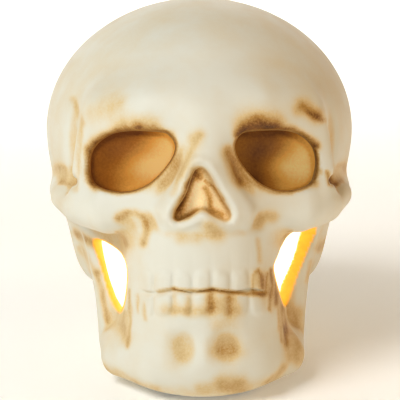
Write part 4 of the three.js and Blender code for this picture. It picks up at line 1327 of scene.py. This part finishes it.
def bowl_finish():
    material, tree, shader = new_finish("bowl_brown")
    cloud = noise_of(tree, CLOUD_SCALE)
    grain = noise_of(tree, GRAIN_SCALE, detail=3.0, rough=0.7)
    depth = mathed(tree, "ADD", mask_of(tree, "painted_shading"), scaled(tree, cloud, *CLOUD_SHADE))
    depth = mathed(tree, "ADD", depth, scaled(tree, grain, *GRAIN_SHADE), clamp=True)
    brown = toned(tree, depth, BOWL_TONES)
    feed_all(tree, shader, {
        "Base Color": brown,
        "Emission Color": brown,
        "Emission Strength": BOWL_GLOW,
        "Specular IOR Level": BOWL_GLOSS,
        "Roughness": scaled(tree, grain, *BOWL_ROUGH),
    })
    bumped(tree, shader, grain, distance=0.0002, strength=0.1)
    return material


def bowl_light_and_shade(side, outline, places):
    """Nought where the bowl is lightest and one where it is darkest, in spray and painted light and shade.
    """
    inset = -sight_prism(outline, EYE_PLANE, 0.0, *places.T)
    height = places[:, 2] + (places[:, 1] - EYE_PLANE) * SIGHT_DROP - EYE_HEIGHT
    across = places[:, 0] - side * EYE_X
    highlight = ((across - HIGHLIGHT_SPOT[0]) / HIGHLIGHT_SIZE[0]) ** 2 + ((height - HIGHLIGHT_SPOT[1]) / HIGHLIGHT_SIZE[1]) ** 2
    fade = ramp(*FADE_SPAN[side], across - FADE_DROP[side] * height)
    painted_shading = BOWL_SHADE[side] - BOWL_FADE[side] * fade - HIGHLIGHT_LIFT * np.exp(-highlight)
    painted_shading = painted_shading - INNER_SHADE * ramp(*INNER_SPAN, -side * across) + LOW_SHADE * ramp(*LOW_SPAN, -height)
    return painted_shading + BOWL_RIM_SHADOW * np.exp(-np.maximum(inset, 0) / BOWL_RIM_SHADOW_REACH)


bowl_brown = bowl_finish()
for side, word, outline in ((-1, "left", EYE_OUTLINES[0]), (1, "right", EYE_OUTLINES[1])):
    places, quads = bowl_nets[side]
    bowl = mesh_piece(word + "_eye_bowl", places, quads)
    set_mask(bowl, "painted_shading", bowl_light_and_shade(side, outline, places))
    bowl.data.materials.append(bowl_brown)
    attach(bowl, "head")
    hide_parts(word + "_eye_cup")
    print(bowl.name, "is behind the", word, "eye")

# %% [markdown]
# ## The base and the lamp
# Under the head there are plain mouldings and bought parts. Their colours are one finish with
# different values: a fine noise that moves between two close tones, with the roughness and a
# faint bump following it.

# %% Plain finishes
# Dark tone, light tone, scale of the grain, roughness and metal of each finish.
PLAIN = {
    "black_plastic": ((0.014, 0.014, 0.015), (0.032, 0.031, 0.030), 1400.0, 0.56, 0.0),
    "foot_rubber": ((0.010, 0.010, 0.010), (0.024, 0.024, 0.024), 900.0, 0.85, 0.0),
    "bright_steel": ((0.50, 0.51, 0.53), (0.70, 0.71, 0.73), 700.0, 0.28, 1.0),
    "switch_case": ((0.32, 0.33, 0.35), (0.46, 0.47, 0.49), 600.0, 0.36, 1.0),
    "slider_plastic": ((0.66, 0.63, 0.56), (0.76, 0.73, 0.66), 1200.0, 0.48, 0.0),
    "lamp_white": ((0.78, 0.76, 0.70), (0.88, 0.86, 0.80), 500.0, 0.46, 0.0),
    "board_white": ((0.76, 0.77, 0.74), (0.88, 0.88, 0.85), 900.0, 0.38, 0.0),
    "chip_black": ((0.012, 0.012, 0.013), (0.03, 0.03, 0.03), 2500.0, 0.5, 0.0),
    "red_sleeve": ((0.40, 0.020, 0.015), (0.52, 0.035, 0.025), 600.0, 0.34, 0.0),
    "black_sleeve": ((0.012, 0.012, 0.012), (0.026, 0.026, 0.026), 600.0, 0.34, 0.0),
    "led_lens": ((1.0, 0.74, 0.34), (1.0, 0.86, 0.52), 400.0, 0.12, 0.0),
    "frosted_cover": ((0.93, 0.84, 0.62), (0.98, 0.92, 0.76), 300.0, 0.55, 0.0),
}
GLOWS = {"led_lens": 3.0, "frosted_cover": 1.2}
ROUGH_SPREAD = 0.05


def plain_finish(slot):
    dark, light, grain_scale, rough, metal = PLAIN[slot]
    material, tree, shader = new_finish(slot)
    grain = noise_of(tree, grain_scale)
    colour = toned(tree, scaled(tree, grain, 0.0, 1.0), [(0.0, *dark), (1.0, *light)])
    feed_all(tree, shader, {
        "Base Color": colour,
        "Roughness": scaled(tree, grain, rough - ROUGH_SPREAD, rough + ROUGH_SPREAD),
        "Metallic": metal,
    })
    if slot in GLOWS:
        feed_all(tree, shader, {"Emission Color": colour, "Emission Strength": GLOWS[slot]})
    bumped(tree, shader, grain, distance=0.00005, strength=0.2)
    return material


finishes = {slot: plain_finish(slot) for slot in PLAIN}
carried = 0
for part in frame["record"]["subparts"]:
    if part["material_slot"] in finishes:
        node = nodes[part["node"]]
        node.data.materials.clear()
        node.data.materials.append(finishes[part["material_slot"]])
        carried += 1
print(carried, "CAD nodes have a plain finish")

# %% [markdown]
# The base plate closes the foot of the shell. Its edge follows the shell's inner side, so a
# rim of the plate's thickness is drawn from the same field, with a small gap to the wall.

# %% Rim of the base
RIM_FIT = 0.3
RIM_WIDTH = 6.5
RIM_LOW, RIM_HIGH = 2.06, 4.9
# The rim's grid: its two ends and the step, along x, y and z.
RIM_GRID = [(-56.0, 57.0, 1.4), (-78.0, 66.0, 1.4), (1.0, 6.2, 0.7)]


def rim_field(x, y, z):
    core, head = core_and_head(x, y, z)
    hollow = hollow_from(core, head, y)
    ring = np.maximum(hollow + RIM_FIT, -(hollow + RIM_WIDTH))
    return np.maximum(ring, np.abs(z - (RIM_LOW + RIM_HIGH) / 2) - (RIM_HIGH - RIM_LOW) / 2)


rim_places, rim_quads = net_over(rim_field, [np.arange(*span) for span in RIM_GRID])
rim = mesh_piece("base_rim", settled(rim_field, rim_places), rim_quads)
rim.data.materials.append(finishes["black_plastic"])
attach(rim, "head")
print("base_rim", len(rim_quads), "quads")

# %% [markdown]
# Turned pieces are drawn as half a section, a list of radius and height in millimetres, and
# spun about +Z. The first and last points lie on the axis, so the mesh closes.

# %% Turning a section
SHARP_ANGLE = math.radians(40)


def turned(name, section, sides=48):
    points, faces, rings = [], [], []
    for radius, height in section:
        if radius == 0:
            rings.append([len(points)] * sides)
            points.append((0.0, 0.0, height * MM))
            continue
        rings.append(list(range(len(points), len(points) + sides)))
        for step in range(sides):
            turn = 2 * math.pi * step / sides
            points.append((radius * MM * math.cos(turn), radius * MM * math.sin(turn), height * MM))
    for below, above in zip(rings, rings[1:]):
        for step in range(sides):
            following = (step + 1) % sides
            corners = [below[step], below[following], above[following], above[step]]
            faces.append(list(dict.fromkeys(corners)))
    mesh = bpy.data.meshes.new(name)
    mesh.from_pydata(points, [], faces)
    bent = bmesh.new()
    bent.from_mesh(mesh)
    bmesh.ops.recalc_face_normals(bent, faces=bent.faces)
    bent.to_mesh(mesh)
    bent.free()
    mesh.shade_smooth()
    mesh.set_sharp_from_angle(angle=SHARP_ANGLE)
    return placed(name, mesh)


# %% [markdown]
# Screws, feet, cells, springs and lamps each come more than once. One tree of Geometry Nodes
# puts a shape on every point of a small mesh, turned as the point's own attribute says. The
# result is made into a plain mesh, because the head needs one mesh for each body.

# %% One shape at many places


def node_tree(name, inputs):
    """A tree of Geometry Nodes, the identifiers of its named inputs, and its two ends."""
    tree = bpy.data.node_groups.new(name, "GeometryNodeTree")
    sockets = {}
    for label, kind in inputs.items():
        socket = tree.interface.new_socket(label, in_out="INPUT", socket_type="NodeSocket" + kind)
        sockets[label] = socket.identifier
    tree.interface.new_socket("Result", in_out="OUTPUT", socket_type="NodeSocketGeometry")
    start, end = tree.nodes.new("NodeGroupInput"), tree.nodes.new("NodeGroupOutput")
    return tree, sockets, start.outputs, end.inputs["Result"]


def finish_tree(tree, made, finish, result):
    """Ends a tree: what it made becomes a real mesh with one finish."""
    realize = tree.nodes.new("GeometryNodeRealizeInstances")
    coat = tree.nodes.new("GeometryNodeSetMaterial")
    feed(tree, realize.inputs["Geometry"], made)
    feed_all(tree, coat, {"Geometry": realize.outputs["Geometry"], "Material": finish})
    feed(tree, result, coat.outputs["Geometry"])


repeat_tree, REPEAT_INPUTS, given, repeat_result = node_tree(
    "repeat_at_points", {"Points": "Geometry", "Shape": "Object", "Finish": "Material"},
)
shape_info = repeat_tree.nodes.new("GeometryNodeObjectInfo")
turn_named = add_node(repeat_tree, "GeometryNodeInputNamedAttribute", data_type="FLOAT_VECTOR")
to_rotation = repeat_tree.nodes.new("FunctionNodeEulerToRotation")
spread = repeat_tree.nodes.new("GeometryNodeInstanceOnPoints")
feed(repeat_tree, shape_info.inputs["Object"], given["Shape"])
feed(repeat_tree, turn_named.inputs["Name"], "turn")
feed(repeat_tree, to_rotation.inputs["Euler"], turn_named.outputs["Attribute"])
feed_all(repeat_tree, spread, {
    "Points": given["Points"],
    "Instance": shape_info.outputs["Geometry"],
    "Rotation": to_rotation.outputs["Rotation"],
})
finish_tree(repeat_tree, spread.outputs["Instances"], given["Finish"], repeat_result)
print("inputs of the tree:", list(REPEAT_INPUTS))

# %% [markdown]
# Each set of repeats takes its places from the boxes of CAD nodes, so that it stays true to the
# frame. The shape itself is removed once it has been repeated.

# %% Repeats and their places


def as_plain_mesh(piece):
    """The piece with its modifiers worked out, as a mesh of its own."""
    made = bpy.data.meshes.new_from_object(piece.evaluated_get(bpy.context.evaluated_depsgraph_get()))
    piece.modifiers.clear()
    piece.data = made
    return piece


def repeated(name, shape, places, finish, turns=None):
    """One mesh with a shape at every place."""
    turns = turns or [(0, 0, 0)] * len(places)
    points = bpy.data.meshes.new(name + "_points")
    points.from_pydata(places, [], [])
    layer = points.attributes.new("turn", "FLOAT_VECTOR", "POINT")
    layer.data.foreach_set("vector", [value for turn in turns for value in turn])
    piece = placed(name, points)
    modifier = piece.modifiers.new("repeat", "NODES")
    modifier.node_group = repeat_tree
    modifier[REPEAT_INPUTS["Shape"]] = shape
    modifier[REPEAT_INPUTS["Finish"]] = finish
    as_plain_mesh(piece)
    bpy.data.objects.remove(shape)
    print(name, len(places), "places,", len(piece.data.polygons), "faces")
    return piece


def dress(piece, slot, *nodes, body="head"):
    """Puts a piece on its body, in the place of CAD nodes."""
    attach(piece, body)
    if nodes:
        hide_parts(*nodes)


def middle_of(node):
    low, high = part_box(node)
    return (low + high) / 2


def end_of(node, end):
    """The middle of a node's box, at its lower end (0) or its upper end (1)."""
    return Vector((middle_of(node).x, middle_of(node).y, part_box(node)[end].z))


def numbered(stem, count):
    return [f"{stem}_{index + 1}" for index in range(count)]


# %% [markdown]
# The head stands on four soft feet. Each is a low button with a rounded edge and a shallow
# dish underneath, so that its rim takes the load.

# %% Feet
FOOT_SECTION = [
    (0, 0.5), (2.2, 0.4), (2.9, 0.05), (3.2, 0), (3.8, 0), (4.25, 0.25), (4.5, 0.8), (4.5, 1.98), (0, 1.98),
]
foot_nodes = numbered("rubber_foot", 4)
foot_places = [Vector((middle_of(n).x, middle_of(n).y, 0)) for n in foot_nodes]
foot_shape = turned("foot_shape", FOOT_SECTION)
feet = repeated("rubber_feet", foot_shape, foot_places, finishes["foot_rubber"])
dress(feet, "foot_rubber", *foot_nodes)

# %% [markdown]
# The screws have a pan head with a cross in it. The cross is cut out of the turned head by two
# bars. Three go up through the base into the shell, and two go down through the lamp's foot.

# %% Screws
SCREW_SECTION = [
    (0, 0), (1.9, 0.05), (2.5, 0.3), (2.8, 0.8), (2.8, 1.6), (1.5, 1.6), (1.5, 8.6), (0.4, 10.0), (0, 10.1),
]
SCREW_SIDES = 32
CROSS_LENGTH, CROSS_WIDTH, CROSS_DEPTH = 3.2, 0.8, 1.0
BASE_TWIST, POST_TWIST = math.radians(25), math.radians(40)


def cross_tool():
    tool = bmesh.new()
    for size in ((CROSS_LENGTH, CROSS_WIDTH), (CROSS_WIDTH, CROSS_LENGTH)):
        bar = bmesh.ops.create_cube(tool, size=1.0)["verts"]
        bmesh.ops.scale(tool, vec=(size[0] * MM, size[1] * MM, 2 * CROSS_DEPTH * MM), verts=bar)
    mesh = bpy.data.meshes.new("cross_tool")
    tool.to_mesh(mesh)
    tool.free()
    return placed("cross_tool", mesh)


def screw_shape():
    screw = turned("screw_shape", SCREW_SECTION, SCREW_SIDES)
    tool = cross_tool()
    cut = screw.modifiers.new("cross", "BOOLEAN")
    cut.operation = "DIFFERENCE"
    cut.use_self = True
    cut.object = tool
    as_plain_mesh(screw)
    bpy.data.objects.remove(tool)
    return screw


base_nodes = numbered("base_screw", 3)
post_nodes = numbered("post_screw", 2)
base_turns = [(0, 0, BASE_TWIST * index) for index in range(len(base_nodes))]
post_turns = [(math.pi, 0, POST_TWIST * index) for index in range(len(post_nodes))]
for name, screw_nodes, end, turns in (
    ("base_screws", base_nodes, 0, base_turns), ("post_screws", post_nodes, 1, post_turns),
):
    screw_places = [end_of(n, end) for n in screw_nodes]
    screws = repeated(name, screw_shape(), screw_places, finishes["bright_steel"], turns)
    dress(screws, "bright_steel", *screw_nodes)

# %% [markdown]
# Three AA cells lie side by side, every second one turned round. The jacket is dark with a
# copper band at the plus end, and the two ends are bare steel. The bands are masks on the
# section, so they stay with the cell wherever it lies.

# %% Cells
CELL_SECTION = [
    (0, 0), (5.8, 0), (6.7, 0.2), (7.25, 0.8), (7.25, 14), (7.25, 34.9), (7.25, 35.1), (7.25, 48.2),
    (6.8, 49.0), (5.9, 49.2), (5.6, 48.9), (3.3, 48.9), (2.75, 49.2), (2.7, 50.2), (2.4, 50.5), (0, 50.5),
]
JACKET_START, COPPER_START, JACKET_END = 0.7, 35.0, 48.5
CELL_TONES = [(0.0, 0.020, 0.024, 0.032), (0.5, 0.050, 0.056, 0.068), (1.0, 0.085, 0.09, 0.10)]
CELL_GRAIN = 500.0
CELL_ROUGH = (0.26, 0.36)
COPPER = (0.62, 0.30, 0.12, 1.0)
BARE_STEEL = (0.66, 0.66, 0.67, 1.0)


def cell_finish():
    material, tree, shader = new_finish("cell_jacket")
    grain = noise_of(tree, CELL_GRAIN)
    copper, bare = mask_of(tree, "copper"), mask_of(tree, "bare")
    jacket = toned(tree, scaled(tree, grain, 0.0, 1.0), CELL_TONES)
    feed_all(tree, shader, {
        "Base Color": mixed(tree, bare, mixed(tree, copper, jacket, COPPER), BARE_STEEL),
        "Metallic": mathed(tree, "MAXIMUM", bare, copper),
        "Roughness": scaled(tree, grain, *CELL_ROUGH),
    })
    bumped(tree, shader, grain, distance=0.00003, strength=0.15)
    return material


cell = turned("cell_shape", CELL_SECTION)
heights = np.array([point.co.z for point in cell.data.vertices]) / MM
set_mask(cell, "bare", ((heights < JACKET_START) | (heights > JACKET_END)).astype(float))
set_mask(cell, "copper", ((heights > COPPER_START) & (heights < JACKET_END)).astype(float))
cell_nodes = numbered("battery", 3)
cell_places, cell_turns = [], []
for node in cell_nodes:
    low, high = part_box(node)
    middle = middle_of(node)
    way = 1 if high.x + low.x > 0 else -1
    cell_places.append(Vector((low.x if way > 0 else high.x, middle.y, middle.z)))
    cell_turns.append((0, way * math.pi / 2, 0))
cells = repeated("battery_cells", cell, cell_places, cell_finish(), cell_turns)
dress(cells, "cell_jacket", *cell_nodes)

# %% [markdown]
# Each minus end presses on a coil of plated wire. A second tree draws it as a spiral with a
# round section swept along it, and its sizes come from the CAD node's box.

# %% Springs
SPRING_TURNS = 4.0
SPRING_WIRE = 0.7
TURN_STEPS = 32
WIRE_SIDES = 10
coil_tree, COIL_INPUTS, coil_given, coil_result = node_tree("wire_coil", {
    "Geometry": "Geometry", "Turns": "Float", "Radius": "Float", "Length": "Float",
    "Wire Radius": "Float", "Finish": "Material",
})
spiral = coil_tree.nodes.new("GeometryNodeCurveSpiral")
wire_ring = coil_tree.nodes.new("GeometryNodeCurvePrimitiveCircle")
sweep = coil_tree.nodes.new("GeometryNodeCurveToMesh")
feed_all(coil_tree, spiral, {
    "Resolution": TURN_STEPS, "Rotations": coil_given["Turns"], "Height": coil_given["Length"],
    "Start Radius": coil_given["Radius"], "End Radius": coil_given["Radius"],
})
feed_all(coil_tree, wire_ring, {"Resolution": WIRE_SIDES, "Radius": coil_given["Wire Radius"]})
feed_all(coil_tree, sweep, {
    "Curve": spiral.outputs["Curve"], "Profile Curve": wire_ring.outputs["Curve"], "Fill Caps": True,
})
finish_tree(coil_tree, sweep.outputs["Mesh"], coil_given["Finish"], coil_result)

spring_nodes = numbered("battery_spring", 3)
spring_low, spring_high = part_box(spring_nodes[0])
spring_size = spring_high - spring_low
wire = SPRING_WIRE * MM
coil = placed("coil_shape", bpy.data.meshes.new("coil_points"))
coil_modifier = coil.modifiers.new("coil", "NODES")
coil_modifier.node_group = coil_tree
coil_modifier[COIL_INPUTS["Turns"]] = SPRING_TURNS
coil_modifier[COIL_INPUTS["Radius"]] = (spring_size.y - wire) / 2
coil_modifier[COIL_INPUTS["Length"]] = spring_size.x - wire
coil_modifier[COIL_INPUTS["Wire Radius"]] = wire / 2
coil_modifier[COIL_INPUTS["Finish"]] = finishes["bright_steel"]
as_plain_mesh(coil)
coil.data.shade_smooth()
spring_places = [
    Vector((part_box(n)[0].x + wire / 2, middle_of(n).y, middle_of(n).z)) for n in spring_nodes
]
spring_turns = [(0, math.pi / 2, 0)] * len(spring_nodes)
springs = repeated("battery_springs", coil, spring_places, finishes["bright_steel"], spring_turns)
dress(springs, "bright_steel", *spring_nodes)

# %% [markdown]
# The door opens for a fingertip at its front edge. Raised bars there give a grip, so they ride
# on the door and swing with it.

# %% Grip of the door
GRIP_BARS = 7
GRIP_PITCH = 2.4
GRIP_HALF = 8.0
GRIP_RADIUS = 0.7
GRIP_SIDES = 16
GRIP_MARGIN = 5.0
GRIP_X = 12.0
GRIP_RISE = 0.2
TIP_ROUND, TIP_BEVEL, TIP_SHARE = 0.7, 0.2, 0.7
GRIP_SECTION = [
    (0, -GRIP_HALF), (GRIP_RADIUS * TIP_SHARE, TIP_BEVEL - GRIP_HALF), (GRIP_RADIUS, TIP_ROUND - GRIP_HALF),
    (GRIP_RADIUS, GRIP_HALF - TIP_ROUND), (GRIP_RADIUS * TIP_SHARE, GRIP_HALF - TIP_BEVEL), (0, GRIP_HALF),
]
door_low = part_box("battery_door")[0]
grip_places = [
    Vector((GRIP_X * MM, door_low.y + (GRIP_MARGIN + GRIP_PITCH * index) * MM, door_low.z + GRIP_RISE * MM))
    for index in range(GRIP_BARS)
]
grip_turns = [(0, math.pi / 2, 0)] * GRIP_BARS
grip_shape = turned("grip_shape", GRIP_SECTION, GRIP_SIDES)
grip = repeated("door_grip", grip_shape, grip_places, finishes["black_plastic"], grip_turns)
dress(grip, "black_plastic", body="door")

# %% [markdown]
# Three warm lamps stand on the round board under a frosted dome. Both glow, and the light on
# the inside of the shell is painted into the shell's own finish.

# %% Lamps and dome
LED_SECTION = [
    (0, 0), (2.9, 0), (2.9, 0.9), (2.55, 1.0), (2.5, 1.2), (2.5, 5.5), (2.3, 6.45),
    (1.77, 7.27), (0.95, 7.81), (0, 8),
]
LED_SIDES = 24
DOME_WALL = 1.6
DOME_STEPS = 14
led_nodes = numbered("led", 3)
led_shape = turned("led_shape", LED_SECTION, LED_SIDES)
lamps = repeated("warm_lamps", led_shape, [end_of(n, 0) for n in led_nodes], finishes["led_lens"])
dress(lamps, "led_lens", *led_nodes)


def dome_arc(radius):
    turns = [math.pi / 2 * step / DOME_STEPS for step in range(DOME_STEPS + 1)]
    return [(radius * math.cos(t), radius * math.sin(t)) for t in turns]


dome_low, dome_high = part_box("diffuser_dome")
dome_radius = (dome_high.y - dome_low.y) / 2 / MM
dome_inner, dome_outer = dome_arc(dome_radius - DOME_WALL), dome_arc(dome_radius)
dome_section = [(0, dome_inner[-1][1])] + dome_inner[-2::-1] + dome_outer[:-1] + [(0, dome_radius)]
dome_shape = turned("dome_shape", dome_section)
dome = repeated("frosted_dome", dome_shape, [end_of("diffuser_dome", 0)], finishes["frosted_cover"])
dress(dome, "frosted_cover", "diffuser_dome")
